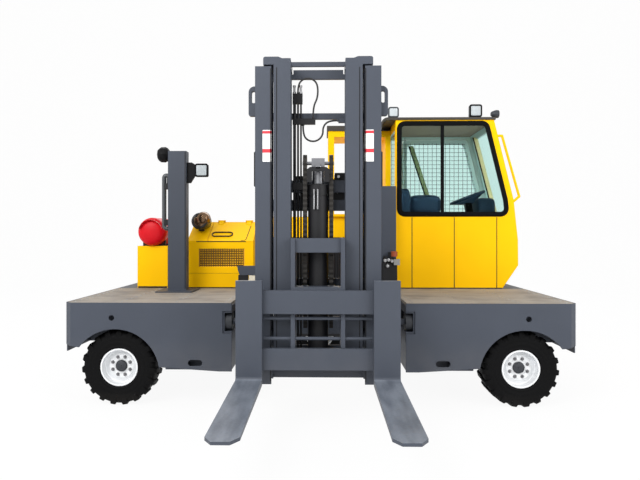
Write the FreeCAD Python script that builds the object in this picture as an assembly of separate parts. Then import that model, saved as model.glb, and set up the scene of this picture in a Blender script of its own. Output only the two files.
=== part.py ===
import FreeCAD, Part
import math
import os

# Four-way forklift with a reaching mast between two load platforms.
# Lengths are millimetres. +X points to the cab end, +Y to the rear, +Z up.
# The origin is on the floor, on the mast's centre plane.

# --- Load platforms and main frame ---
DECK_TOP = 873.0            # top of the deck boards
PLATE_FRONT = -240.0        # front face of both platforms
DECK_DEPTH = 1340.0         # boards, from the front face to the bodywork
BODY_DEPTH = 1000.0         # bodywork, from the boards to the rear face
CHANNEL_HALF = 720.0        # half the width of the mast channel
ARM_LENGTH = 1410.0         # platform length outside the channel
CORNER = 60.0               # bevelled front corner of a platform
PLATE_T = 10.0              # frame plate
BOARD_T = 20.0              # deck board
BOARD_W = 130.0             # one deck board, with its gap
BOARD_GAP = 3.0
FLOOR_T = 12.0              # frame floor under the boards
SKIRT_LOW = 305.0           # lowest edge of the front plate
SKIRT_RISE = 32.0           # rise of that edge towards the wheel arch
BOX_LENGTH = 555.0          # closed box beam beside the channel
BOX_LOW = 318.0
TAIL_LOW = 458.0            # lower edge of the outer and rear skirts
TIP_RISE = 60.0             # rise of the skirt from the wheel to the outer end
ARCH_R = 375.0              # wheel arch in the front plate
ARCH_Z = 277.0
ARCH_OFFSET = 15.0          # arch centre, outward of the wheel
PORT_R = 23.0               # round inspection port in the front plate
PORT_Z = 746.0
PORT_OFFSET = 43.0
SLOT_S = 306.0              # obround tie-down slot, from the channel edge
SLOT_Z = 374.0
SLOT_L = 119.0
SLOT_H = 50.0
SLOT_POCKET = 90.0          # depth of the closed pocket behind the slot
REAR_BEAM_DEPTH = 380.0     # cross beam at the rear of the channel
REAR_BEAM_RISE = 60.0       # its underside above the skirts
NECK_HALF = 300.0           # half the width of the rear wheel's carrier

# --- Reach rails and reach cylinders ---
RAIL_LOW = 636.0            # inside of the C-rail
RAIL_OPEN = 154.0
RAIL_T = 15.0
RAIL_DEPTH = 75.0
RAIL_RUN_IN = 500.0         # the rail runs this far behind the boards
ROLLER_R = 75.0
ROLLER_W = 54.0
ROLLER_AXLE_R = 25.0
ROLLER_GAP = 0.5            # roller to the rail's lower flange
ROLLER_PLACES = (-150.0, 290.0)
REACH_STROKE = 1150.0
REACH_ROD_R = 20.0
REACH_BARREL_R = 35.0
REACH_X = 645.0
REACH_Z = 538.0
CLAMP_W = 40.0
ROD_FIT = 0.05              # radial clearance of a rod or pin in its bore
SEAT_GAP = 0.3              # gap between pieces that touch

# --- Wheels ---
TYRE_R = 321.5
TYRE_W = 250.0
CARCASS_R = 298.0
SHOULDER = 22.0             # bevel of the carcass and of the lugs at the tyre's shoulder
BEAD_H = 50.0               # sidewall from the bead to its widest ring
LUG_ROOT_R = 250.0
RIM_R = 159.0
LUGS = 19                   # lugs in each row, and two rows
LUG_FILL = 0.98             # lug width over the gap's, at the carcass
LUG_SKEW = 16.0
LUG_LAP = 12.0              # how far a lug crosses the tyre's middle
WHEEL_SETBACK = 175.0       # wheel centre plane behind the front plate
WHEEL_S = 963.0             # wheel centre, from the channel edge
REAR_WHEEL_SETBACK = 450.0  # rear wheel's centre, in from the rear face
AXLE_R = 40.0
KINGPIN_R = 35.0
CARRIER_HALF = 110.0        # block in the frame that holds the kingpin
KNUCKLE_LOW = 673.0
KNUCKLE_T = 40.0
KNUCKLE_HALF = 90.0
FORK_LEG_T = 30.0           # knuckle's leg behind the wheel
LEG_GAP = 10.0
HUB_R = 45.0                # grease cap
HUB_OUT = 30.0
DISH_Y = -40.0              # front face of the wheel disc, from the wheel centre
DISH_EDGE_R = 104.0
DISH_T = 12.0
RIM_T = 12.0
RIM_INSET = 15.0            # rim edge in from the tyre's side
NUTS = 8
NUT_CIRCLE_R = 80.0
NUT_R = 11.0
NUT_OUT = 14.0

# --- Mast carriage (reach frame) ---
ARM_X = (560.0, 600.0)
ARM_LOW = 578.0
ARM_TOP = 778.0
ARM_END = 340.0
PIVOT_Y = -420.0
PIVOT_Z = 438.0
PIVOT_R = 35.0
BEAM_Y = (20.0, 120.0)
BEAM_TOP = 718.0
TILT_X = 300.0
TILT_FOOT_Y = 70.0
TILT_FOOT_Z = 778.0
TILT_EYE_Y = -410.0
TILT_EYE_Z = 1058.0
TILT_PIN_R = 15.0
TILT_BARREL_R = 34.0
TILT_ROD_R = 18.0
TILT_EYE_R = 30.0
TILT_EYE_GAP = 4.0          # the rod's eye drifts on its pin by up to this
EAR_T = 14.0

# --- Mast ---
MAST_FRONT = -700.0
MAST_DEPTH = 200.0
OUTER_HALF = 474.0
OUTER_LIP = 352.0
OUTER_LOW = 318.0
OUTER_TOP = 2708.0
FLANGE_T = 22.0
TIE_Y = (-480.0, -455.0)    # ties of the outer mast, behind the inner one
TOP_TIE = (28.0, 52.0)      # top edge above the channel's top, and height
UPPER_TIE = (312.0, 48.0)   # top edge below the channel's top, and height
MIDDLE_TIE = (993.0, 87.0)
FOOT_TIE_H = 60.0
TILT_TIE_HALF = 40.0
EYE_PLATE = (137.0, 365.0)  # lifting eye plate, below the channel's top
EYE_OUT = 56.0
EYE_HOLE_W = 28.0
EYE_HOLE_H = 90.0
INNER_HALF = 335.0
INNER_LIP = 206.0
INNER_LOW = 478.0
INNER_TOP = 2721.0
INNER_GAP = 5.0             # inner channels, in from the outer ones' faces
INNER_FLANGE_T = 20.0
INNER_WEB_IN = 50.0         # web of the inner channel, in from its edge
CAP_T = 60.0
CAP_HALF = 413.0
INNER_TOP_TIE = (72.0, 36.0)     # top edge above the channel's top, and height
INNER_MIDDLE_TIE = (855.0, 95.0)
INNER_FOOT_TIE_H = 100.0
INNER_ROLLERS = (638.0, 918.0)
INNER_ROLLER_R = 77.5
MAST_AXIS_Y = -600.0        # rollers, chain wheels and free-lift cylinder
FREE_BARREL_R = 78.0
FREE_BARREL_TOP = 1828.0
FREE_ROD_R = 45.0
HEAD_Z = 1988.0
CHAIN_WHEEL_X = (86.0, 114.0)
CHAIN_WHEEL_R = 50.0
CHAIN_T = 15.0
CHAIN_FACETS = 10           # flats of a chain over its wheel
CHAIN_ENDS = (918.0, 718.0) # lower ends of the front and rear runs
LIFT_X = 400.0
LIFT_Y = -450.0
LIFT_BARREL_R = 40.0
LIFT_ROD_R = 25.0
LIFT_BARREL_DROP = 90.0     # barrel's top below the channel's top
PIPE_X = (-185.0, -158.0, -135.0)
PIPE_RADII = (12.0, 8.0, 7.0)
PIPE_TOP = 2540.0
MANIFOLD_X = (-200.0, -122.0)
MANIFOLD_H = 80.0
JUNCTION_X = (-200.0, -22.0)
JUNCTION_Z = (2300.0, 2345.0)
FITTING_R = 10.0
FITTING_L = 10.0
HOSE_R = 7.0
HOSE_Y = -520.0             # plane of both hose loops
UPPER_HOSE = ((-158.0, 2550.3), (-158.0, 2615.0), (-112.7, 2660.3), (-48.7, 2660.3), (-3.4, 2615.0),
              (-3.4, 2510.0), (-40.0, 2440.0), (-40.0, 2355.3))
LOWER_HOSE = ((-118.0, 2289.7), (-118.0, 2215.0), (-72.7, 2169.7), (-8.7, 2169.7), (36.6, 2215.0),
              (36.6, 2285.0), (81.9, 2330.3), (147.0, 2330.3))
HOSE_BRACKET_Z = (2312.0, 2348.0)

# --- Fork carriage and forks ---
SHANK_FRONT = -900.0
SHANK_T = 45.0
BAR_T = 40.0
BAR_HALF = 590.0
UPPER_BAR = (866.0, 1037.0)
LOWER_BAR = (458.0, 615.0)
SIDE_X = (168.0, 200.0)
SIDE_END = -560.0
CARRIAGE_TOP = 1416.0
TOP_BAR_H = 106.0
TOP_BAR_Y = (-790.0, -750.0)
CARRIAGE_ROLLERS = (798.0, 1278.0)
CARRIAGE_ROLLER_R = 74.5
ANCHOR_Z = (1018.0, 1058.0)
BRACE_Z = (488.0, 588.0)
FORK_X = 497.5
FORK_W = 190.0
FORK_LENGTH = 1200.0
FORK_LOW = 353.0
FORK_TOP = 1110.0
FORK_TIP_T = 18.0
HOOK_GAP = 1.0

# --- Engine side ---
HOOD_X = (-1395.0, -696.0)
HOOD_FRONT_TOP = 1371.0
HOOD_REAR_TOP = 1578.0
HOOD_LID_DEPTH = 400.0
HOOD_SIDE_STEP = 210.0      # fixed shoulder beside the lid
HOOD_WALL = 25.0
LID_T = 14.0
GRILLE_Z = (1098.0, 1290.0)
GRILLE_IN = (120.0, 90.0)   # grille opening, in from the hood's sides
GRILLE_BAR = 8.0
GRILLE_PITCH = 18.0
HINGE_R = 9.0
ENGINE_IN = (95.0, 150.0)   # engine block, in from the hood's sides and its front and rear
ENGINE_TOP = 1318.0
COVER_TOP = 1638.0
COVER_SETBACK = 500.0       # rear cover, behind the boards
TANK_R = 148.0
TANK_X = -1762.0
TANK_Z = 1468.0
TANK_LENGTH = 640.0
TANK_OUT = 60.0             # tank ahead of the bodywork's front
COLLAR_R = 85.0
BATTERY_X = (-1923.0, -1601.0)
BATTERY_TOP = 1318.0
POST_X = (-1508.0, -1324.0)
POST_AHEAD = 300.0          # post's centre ahead of the bodywork
POST_DEPTH = 110.0
POST_TOP = 2272.0
POST_WALL = 6.0
POST_FOOT = (180.0, 200.0)  # half the base plate's length and depth
EXHAUST_R = 24.0
EXHAUST_BEND = 60.0
EXHAUST_TOP = 1868.0
CLEANER_R = 92.0
CLEANER_Z = 1580.0
LAMP_W = 124.0
LAMP_D = 66.0
LAMP_RIM = 10.0
LAMP_FOOT = 12.0
POST_LAMP_Z = (2186.0, 2024.0)  # lower edges of the left and right lamps on the post
POST_LAMP_OUT = (59.0, 138.0)   # their centres, from the post's sides
PANEL_X = (640.0, 790.0)    # upright panel beside the cab
PANEL_AHEAD = (100.0, 10.0)
PANEL_TOP = 1938.0
VALVE_AHEAD = (200.0, 110.0)
VALVE_TOP = 1148.0

# --- Cab ---
CAB_LEFT = 798.0
CAB_WALL = 30.0
CAB_FOOT_X = 1905.0
CAB_BELT_X = 2071.0
CAB_BELT_Z = 1118.0
CAB_SILL_X = 2068.0
CAB_SILL_Z = 1380.0
CAB_SHOULDER_X = 2024.0
CAB_SHOULDER_Z = 1800.0
CAB_EAVE_X = 1820.0
CAB_EAVE_Z = 2636.0
CAB_ROOF_T = 26.0
CAB_REAR_GAP = 50.0         # cab's rear wall, in from the frame's rear face
ROOF_LEFT = 644.0
ROOF_DROP = 81.0            # rolled edge of the roof at the mast side
ROOF_LIP = 12.0
ROOF_OVER = 15.0            # roof beyond the walls
ROOF_LAMP_X = (774.0, 1636.0, 1782.0)
ANNEX_LEFT = 96.0
ANNEX_SETBACK = 450.0       # frame behind the mast, behind the cab's front
ANNEX_TOP = 2600.0
ANNEX_POST = 67.0
WINDOW_LOW = 1650.0
WINDOW_TOP = 2600.0
WINDOW_LEFT = 835.0
WINDOW_IN = 86.0            # window's raked edge, in from the cab's
WINDOW_R = 60.0
SEAM_X = (968.0, 1408.0, 1849.0)
SEAM_W = 6.0
SEAM_D = 5.0
DOOR_LEFT = 985.0
DOOR_IN = 70.0              # doorway, in from the cab's raked edge
DOOR_LOW = 978.0
DOOR_TOP = 2572.0
DOOR_GAP = 6.0
LIGHT_IN = 30.0             # side light beside the door, in from its edges
LIGHT_R = 40.0
DOOR_FRAME = 55.0
SILL_Z = 1578.0             # lower edge of the side and end windows
END_TOP = 2546.0            # their upper edge
DOOR_SILL_Z = 1420.0        # lower edge of the door's window
BRACE_TOP_X = 1280.0        # slanted stiffener across the door's window
BRACE_LEAN = 0.364
BRACE_W = 75.0
GLASS_T = 6.0
HINGE_PIN_R = 6.0
GUARD_WIRE = 4.0            # wire guard behind the door's window
GUARD_PITCH = (52.0, 48.0)
HANDLE_R = 13.0
HANDLE_TOP = (47.0, 2470.0)     # upper corner of the grab handle: reach and height
HANDLE_FOOT = (70.0, 1836.0)    # lower corner
HANDLE_SLANT = 60.0             # drop of the lower leg towards the cab
SEAT_X = (930.0, 1400.0)
SEAT_HALF = 225.0
SEAT_TOP = 1370.0
SEAT_PAD = 120.0
SEAT_BACK_TOP = 1950.0
STEERING_X = 1600.0
STEERING_Z = 1690.0
STEERING_R = 180.0
DASH_X = (1760.0, 1868.0)
DASH_TOP = 1500.0

# --- Places that follow from the sizes above ---
BODY_FRONT = PLATE_FRONT + DECK_DEPTH
REAR = BODY_FRONT + BODY_DEPTH
FLOOR_TOP = DECK_TOP - BOARD_T
FLOOR_LOW = FLOOR_TOP - FLOOR_T
RAIL_TOP = RAIL_LOW + RAIL_OPEN
RAIL_END = BODY_FRONT + RAIL_RUN_IN
ROLLER_Z = RAIL_LOW + ROLLER_GAP + ROLLER_R
WHEEL_Y = PLATE_FRONT + WHEEL_SETBACK
WHEEL_X = CHANNEL_HALF + WHEEL_S
REAR_WHEEL_Y = REAR - REAR_WHEEL_SETBACK
TYRE_BEAD_R = RIM_R + SEAT_GAP
MAST_BACK = MAST_FRONT + MAST_DEPTH
INNER_FRONT = MAST_FRONT + INNER_GAP
INNER_BACK = MAST_BACK - INNER_GAP
LIFT_BARREL_TOP = OUTER_TOP - LIFT_BARREL_DROP
LIFT_FOOT_Z = PIVOT_Z + 65
REACH_EYE_Y = PIVOT_Y + 80
REACH_BARREL_END = REAR - 40
HOSE_END_X = LOWER_HOSE[-1][0] + SEAT_GAP
SHANK_BACK = SHANK_FRONT + SHANK_T
BAR_BACK = SHANK_BACK + BAR_T
KNUCKLE_TOP = KNUCKLE_LOW + KNUCKLE_T
COVER_FRONT = BODY_FRONT + COVER_SETBACK
BODY_REAR = REAR - 20
LID_REAR = BODY_FRONT + HOOD_LID_DEPTH
HOOD_HINGE_Z = HOOD_REAR_TOP + HINGE_R + 1
POST_Y = BODY_FRONT - POST_AHEAD
CAB_REAR = REAR - CAB_REAR_GAP
CAB_ROOF_TOP = CAB_EAVE_Z + CAB_ROOF_T
ANNEX_FRONT = BODY_FRONT + ANNEX_SETBACK
CAB_MIDDLE_X = (CAB_LEFT + CAB_BELT_X) / 2
HINGE_X = DOOR_LEFT - 4
HINGE_Y = CAB_REAR + 16
CAB_MIDDLE_Y = (BODY_FRONT + CAB_REAR) / 2


def vec(x, y, z):
    return FreeCAD.Vector(x, y, z)


def box(x, y, z):
    """Block between pairs of X, Y and Z values."""
    low = vec(min(x), min(y), min(z))
    return Part.makeBox(abs(x[1] - x[0]), abs(y[1] - y[0]), abs(z[1] - z[0]), low)


def rod(start, end, radius):
    """Round bar from start to end."""
    line = vec(*end) - vec(*start)
    return Part.makeCylinder(radius, line.Length, vec(*start), line)


def tube(start, end, outer, inner):
    return rod(start, end, outer).cut(rod(start, end, inner))


def fused(shapes):
    shapes = list(shapes)
    return shapes[0].multiFuse(shapes[1:]).removeSplitter() if len(shapes) > 1 else shapes[0]


def cut(shape, tools):
    return shape.cut(Part.makeCompound(list(tools)))


def mirrored(shape):
    return shape.mirror(vec(0, 0, 0), vec(1, 0, 0))


def both_sides(shape):
    """The shape and its mirror image across the mast's centre plane."""
    return [shape, mirrored(shape)]


def face_of(points, place):
    """Flat face of a closed outline. A corner given as (a, b, r) is rounded with radius r."""
    spots = [FreeCAD.Vector(p[0], p[1], 0) for p in points]
    radii = [p[2] if len(p) > 2 else 0.0 for p in points]
    runs = []
    for i, corner in enumerate(spots):
        if not radii[i]:
            runs.append((corner, None, corner))
            continue
        back = (spots[i - 1] - corner).normalize()
        ahead = (spots[(i + 1) % len(spots)] - corner).normalize()
        half = back.getAngle(ahead) / 2
        bisector = (back + ahead).normalize()
        reach = radii[i] / math.tan(half)
        middle = corner + bisector * (radii[i] / math.sin(half) - radii[i])
        runs.append((corner + back * reach, middle, corner + ahead * reach))
    edges = []
    for i, (enter, middle, leave) in enumerate(runs):
        if middle is not None:
            edges.append(Part.Arc(place(enter), place(middle), place(leave)).toShape())
        following = runs[(i + 1) % len(runs)][0]
        if (following - leave).Length > 1e-6:
            edges.append(Part.makeLine(place(leave), place(following)))
    return Part.Face(Part.Wire(edges))


def plate_xz(points, y):
    """Outline in X and Z, between two Y values."""
    face = face_of(points, lambda p: vec(p.x, y[0], p.y))
    return face.extrude(vec(0, y[1] - y[0], 0))


def plate_yz(points, x):
    face = face_of(points, lambda p: vec(x[0], p.x, p.y))
    return face.extrude(vec(x[1] - x[0], 0, 0))


def plate_xy(points, z):
    face = face_of(points, lambda p: vec(p.x, p.y, z[0]))
    return face.extrude(vec(0, 0, z[1] - z[0]))


def rounded_xz(x, z, y, radius):
    corners = [(x[0], z[0]), (x[1], z[0]), (x[1], z[1]), (x[0], z[1])]
    return plate_xz([(a, b, radius) for a, b in corners], y)


def lathe_y(points, x, y, z):
    """Profile of (offset along Y, radius) pairs turned about an axis along Y."""
    face = face_of(points, lambda p: vec(x + p.y, y + p.x, z))
    return face.revolve(vec(x, y, z), vec(0, 1, 0), 360)


def routed(points, y, radius):
    """Hose in an XZ plane: straight runs, with an arc at each corner that takes 0.45 of the
    shorter run beside it. Gives the solid and its tightest radius."""
    spots = [vec(x, y, z) for x, z in points]
    edges = []
    radii = []
    start = spots[0]
    for before, corner, after in zip(spots, spots[1:], spots[2:]):
        back = before - corner
        ahead = after - corner
        half_turn = (math.pi - back.getAngle(ahead)) / 2
        reach = 0.45 * min(back.Length, ahead.Length)
        bend = reach / math.tan(half_turn)
        back.normalize()
        ahead.normalize()
        middle = corner + (back + ahead).normalize() * (bend / math.cos(half_turn) - bend)
        edges.append(Part.makeLine(start, corner + back * reach))
        edges.append(Part.Arc(corner + back * reach, middle, corner + ahead * reach).toShape())
        start = corner + ahead * reach
        radii.append(bend)
    edges.append(Part.makeLine(start, spots[-1]))
    ring = Part.Wire(Part.makeCircle(radius, spots[0], spots[1] - spots[0]))
    return Part.Wire(edges).makePipeShell([ring], True, True), min(radii)


# ---------------------------------------------------------------- platforms

def arm_plan(inset):
    """Platform outline seen from above, drawn on the cab side."""
    x0 = CHANNEL_HALF + inset
    x1 = CHANNEL_HALF + ARM_LENGTH - inset
    bevel = CORNER - inset * (2 - math.sqrt(2))
    front = PLATE_FRONT + inset
    back = REAR - inset
    return [(x0, front), (x1 - bevel, front), (x1, front + bevel), (x1, back), (x0, back)]


def slot_pocket():
    """Closed pocket behind the tie-down slot."""
    x = (CHANNEL_HALF + SLOT_S - SLOT_L / 2 - PLATE_T, CHANNEL_HALF + SLOT_S + SLOT_L / 2 + PLATE_T)
    z = (BOX_LOW, SLOT_Z + SLOT_H / 2 + PLATE_T)
    behind = PLATE_FRONT + PLATE_T
    block = box(x, (behind - 1, behind + SLOT_POCKET), z)
    room = box((x[0] + PLATE_T, x[1] - PLATE_T), (behind - 2, behind + SLOT_POCKET - PLATE_T),
               (z[0] + PLATE_T, z[1] - PLATE_T))
    return block.cut(room)


def arm_frame():
    """Welded frame under one platform, with the arch, port and slot in its front plate."""
    x0 = CHANNEL_HALF
    x1 = x0 + ARM_LENGTH
    web_x = x0 + BOX_LENGTH
    behind = PLATE_FRONT + PLATE_T
    shell = plate_xy(arm_plan(0), (SKIRT_LOW, FLOOR_TOP))
    core = plate_xy(arm_plan(PLATE_T), (SKIRT_LOW - 1, FLOOR_LOW))
    cuts = [
        box((web_x, x1 + 1), (behind + CORNER, REAR + 1), (0, TAIL_LOW)),
        box((x0 - 1, x1 + 1), (behind + 1, REAR + 1), (0, BOX_LOW)),
        rod((WHEEL_X + ARCH_OFFSET, PLATE_FRONT - 1, ARCH_Z),
            (WHEEL_X + ARCH_OFFSET, behind + CORNER, ARCH_Z), ARCH_R),
        plate_xz([(WHEEL_X, TAIL_LOW), (x1 + 1, TAIL_LOW + TIP_RISE), (x1 + 1, 0), (WHEEL_X, 0)],
                 (PLATE_FRONT - 1, behind + CORNER)),
        plate_xz([(x0 + 90, SKIRT_LOW - 1), (web_x + 50, SKIRT_LOW + SKIRT_RISE),
                  (web_x + 50, 0), (x0 + 90, 0)], (PLATE_FRONT - 1, behind + 1)),
        rod((WHEEL_X + PORT_OFFSET, PLATE_FRONT - 1, PORT_Z),
            (WHEEL_X + PORT_OFFSET, behind + 1, PORT_Z), PORT_R),
        rounded_xz((x0 + SLOT_S - SLOT_L / 2, x0 + SLOT_S + SLOT_L / 2),
                   (SLOT_Z - SLOT_H / 2, SLOT_Z + SLOT_H / 2),
                   (PLATE_FRONT - 1, behind + 1), SLOT_H / 2 - 0.5),
        box((x0 - 1, x0 + RAIL_DEPTH), (PLATE_FRONT - 1, RAIL_END),
            (RAIL_LOW - RAIL_T, RAIL_TOP + RAIL_T)),
    ]
    skirts = cut(shell.cut(core), cuts)
    well_back = WHEEL_Y + ARCH_R
    webs = [
        box((web_x - PLATE_T, web_x), (behind, REAR - PLATE_T), (BOX_LOW, FLOOR_LOW)),
        box((x0, web_x), (behind, REAR), (BOX_LOW, BOX_LOW + PLATE_T)),
        box((web_x, x1 - PLATE_T), (well_back, well_back + PLATE_T), (TAIL_LOW, FLOOR_LOW)),
        box((web_x, x1), (well_back, REAR), (TAIL_LOW, TAIL_LOW + PLATE_T)),
        box((x0, x0 + RAIL_DEPTH + PLATE_T), (behind, RAIL_END),
            (RAIL_TOP + RAIL_T, RAIL_TOP + RAIL_T + PLATE_T)),
        box((x0, x1), (BODY_FRONT, REAR), (FLOOR_TOP, DECK_TOP)),
    ]
    carrier = box((WHEEL_X - CARRIER_HALF, WHEEL_X + CARRIER_HALF),
                  (WHEEL_Y - CARRIER_HALF, WHEEL_Y + CARRIER_HALF), (KNUCKLE_TOP + 5, FLOOR_LOW))
    caps = [
        box((x0, x1 - CORNER), (PLATE_FRONT, behind), (FLOOR_TOP, DECK_TOP)),
        box((x1 - PLATE_T, x1), (PLATE_FRONT + CORNER, BODY_FRONT), (FLOOR_TOP, DECK_TOP)),
        plate_xy([(x1 - CORNER, PLATE_FRONT), (x1, PLATE_FRONT + CORNER),
                  (x1 - PLATE_T, PLATE_FRONT + CORNER), (x1 - CORNER, behind)],
                 (FLOOR_TOP, DECK_TOP)),
    ]
    bore = rod((WHEEL_X, WHEEL_Y, KNUCKLE_TOP), (WHEEL_X, WHEEL_Y, FLOOR_LOW - 5),
               KINGPIN_R + ROD_FIT)
    return fused([skirts, slot_pocket(), carrier] + caps + webs).cut(bore)


def deck_boards():
    """Boards laid along X, trimmed to the bevelled corner."""
    inside = plate_xy(arm_plan(PLATE_T + 1), (FLOOR_TOP, DECK_TOP))
    boards = []
    y = PLATE_FRONT + PLATE_T + 1
    while y < BODY_FRONT - BOARD_GAP:
        end = min(y + BOARD_W, BODY_FRONT) - BOARD_GAP
        x = (CHANNEL_HALF + 2, CHANNEL_HALF + ARM_LENGTH)
        boards.append(box(x, (y, end), (FLOOR_TOP, DECK_TOP)).common(inside))
        y += BOARD_W
    return boards + [mirrored(board) for board in boards]


def reach_rail():
    """C-rail along the channel, open towards the mast."""
    x0 = CHANNEL_HALF
    y = (PLATE_FRONT + PLATE_T, RAIL_END)
    outer = box((x0, x0 + RAIL_DEPTH), y, (RAIL_LOW - RAIL_T, RAIL_TOP + RAIL_T))
    inner = box((x0 - 1, x0 + RAIL_DEPTH - RAIL_T), (y[0] - 1, y[1] + 1), (RAIL_LOW, RAIL_TOP))
    return outer.cut(inner)


def reach_barrel():
    """Reach cylinder beside the rail, clamped to the frame."""
    gland = REACH_EYE_Y + REACH_STROKE + 30
    barrel = rod((REACH_X, gland, REACH_Z), (REACH_X, REACH_BARREL_END, REACH_Z), REACH_BARREL_R)
    clamps = [box((REACH_X, CHANNEL_HALF), (y, y + CLAMP_W),
                  (REACH_Z - REACH_BARREL_R - 10, REACH_Z + REACH_BARREL_R + 10))
              for y in (gland + 60, gland + 560)]
    bore = rod((REACH_X, gland - 1, REACH_Z), (REACH_X, REACH_BARREL_END - 12, REACH_Z),
               REACH_ROD_R + ROD_FIT)
    return fused([barrel] + clamps).cut(bore)


def rear_frame():
    """Rear cross beam with the arm that carries the rear wheel's kingpin."""
    beam_y = REAR - REAR_BEAM_DEPTH
    beam = box((-CHANNEL_HALF, CHANNEL_HALF), (beam_y, REAR), (TAIL_LOW + REAR_BEAM_RISE, FLOOR_TOP))
    neck = box((-NECK_HALF, NECK_HALF), (REAR_WHEEL_Y - 120, beam_y), (KNUCKLE_TOP + 5, FLOOR_TOP))
    lid = box((-CHANNEL_HALF, CHANNEL_HALF), (COVER_FRONT - 40, REAR), (FLOOR_TOP, DECK_TOP))
    well = rod((0, REAR_WHEEL_Y, 0), (0, REAR_WHEEL_Y, KNUCKLE_TOP + 5), ARCH_R)
    bore = rod((0, REAR_WHEEL_Y, 0), (0, REAR_WHEEL_Y, FLOOR_LOW - 5), KINGPIN_R + ROD_FIT)
    barrels = both_sides(rod((REACH_X, beam_y - 20, REACH_Z),
                             (REACH_X, REACH_BARREL_END + SEAT_GAP, REACH_Z),
                             REACH_BARREL_R + SEAT_GAP))
    return cut(fused([beam, neck, lid]), [well, bore] + barrels)


# ---------------------------------------------------------------- wheels

def rim(x, y):
    """Dished steel rim with its hub, eight nuts and a grease cap."""
    z = TYRE_R
    half = TYRE_W / 2 - RIM_INSET
    back = DISH_Y + DISH_T
    barrel = lathe_y([(-half, RIM_R - RIM_T), (-half, RIM_R), (half, RIM_R), (half, RIM_R - RIM_T)],
                     x, y, z)
    dish = lathe_y([(DISH_Y, HUB_R), (DISH_Y, DISH_EDGE_R), (DISH_Y + 22, RIM_R - RIM_T + 2),
                    (DISH_Y + 34, RIM_R - RIM_T + 2), (back, DISH_EDGE_R - 4), (back, HUB_R)], x, y, z)
    hub = rod((x, y + DISH_Y, z), (x, y + half, z), HUB_R + 30)
    nuts = []
    for i in range(NUTS):
        angle = math.radians(360 / NUTS * (i + 0.5))
        nx = x + NUT_CIRCLE_R * math.cos(angle)
        nz = z + NUT_CIRCLE_R * math.sin(angle)
        nuts.append(rod((nx, y + DISH_Y - NUT_OUT, nz), (nx, y + DISH_Y + 5, nz), NUT_R))
    cap = rod((x, y + DISH_Y - HUB_OUT, z), (x, y + DISH_Y + 5, z), HUB_R)
    bore = rod((x, y + DISH_Y + 7, z), (x, y + half + 1, z), AXLE_R + ROD_FIT)
    return fused([barrel, dish, hub, cap] + nuts).cut(bore)


def faceted_ring(profile, sides):
    """Closed ring of flat facets about the Y axis from (offset along Y, radius) pairs."""
    rows = []
    for i in range(sides):
        angle = 2 * math.pi * i / sides
        rows.append([vec(r * math.cos(angle), y, r * math.sin(angle)) for y, r in profile])
    faces = []
    for i in range(sides):
        near, far = rows[i], rows[(i + 1) % sides]
        for k in range(len(profile)):
            m = (k + 1) % len(profile)
            faces.append(Part.Face(Part.makePolygon([near[k], near[m], far[m], far[k], near[k]])))
    return Part.makeSolid(Part.makeShell(faces))


def tyre(x, y):
    """Industrial tyre: carcass with deep slanted lugs that reach over each shoulder."""
    half = TYRE_W / 2
    sides = 2 * LUGS
    bead = TYRE_BEAD_R / math.cos(math.pi / sides)
    carcass = faceted_ring([(-half + SHOULDER, bead), (-half, bead + BEAD_H),
                            (-half + SHOULDER, CARCASS_R), (half - SHOULDER, CARCASS_R),
                            (half, bead + BEAD_H), (half - SHOULDER, bead)], sides)
    if carcass.Volume < 0:
        carcass.reverse()
    lug_w = math.pi * CARCASS_R / LUGS * LUG_FILL
    corner = lug_w / 2 + LUG_SKEW
    crown = math.sqrt(TYRE_R ** 2 - corner ** 2)
    blank = plate_yz([(-half + 3, LUG_ROOT_R), (-half + 3, crown - SHOULDER), (-half + SHOULDER, crown),
                      (LUG_LAP, crown), (LUG_LAP, LUG_ROOT_R)], (-corner, corner))
    plan = plate_xy([(-lug_w / 2, -half), (lug_w / 2, -half), (corner, LUG_LAP + 1),
                     (corner - lug_w, LUG_LAP + 1)], (LUG_ROOT_R - 10, TYRE_R))
    lug = blank.common(plan)
    settle = 180 - math.degrees(math.atan2(corner, crown))
    lugs = []
    for i in range(LUGS):
        for side in (0, 1):
            piece = lug.copy()
            piece.rotate(vec(0, 0, 0), vec(0, 0, 1), 180 * side)
            piece.rotate(vec(0, 0, 0), vec(0, 1, 0), settle + (i + side * 0.5) * 360 / LUGS)
            lugs.append(piece)
    body = carcass.multiFuse(lugs)
    body.translate(vec(x, y, TYRE_R))
    return body


def knuckle(x, y):
    """Kingpin, top plate, side plate behind the wheel, and the axle stub."""
    half = KNUCKLE_HALF
    back = y + TYRE_W / 2 + LEG_GAP
    pin = rod((x, y, KNUCKLE_LOW), (x, y, FLOOR_LOW - 10), KINGPIN_R)
    top = box((x - half, x + half), (y - 60, back + FORK_LEG_T), (KNUCKLE_LOW, KNUCKLE_TOP))
    leg = plate_xz([(x - half, KNUCKLE_TOP), (x + half, KNUCKLE_TOP), (x + half, TYRE_R + 60),
                    (x + half - 30, TYRE_R - 70), (x - half + 30, TYRE_R - 70),
                    (x - half, TYRE_R + 60)], (back, back + FORK_LEG_T))
    axle = rod((x, back + 10, TYRE_R), (x, y + DISH_Y + DISH_T, TYRE_R), AXLE_R)
    return fused([pin, top, leg, axle])


# ---------------------------------------------------------------- reach frame and mast

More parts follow.
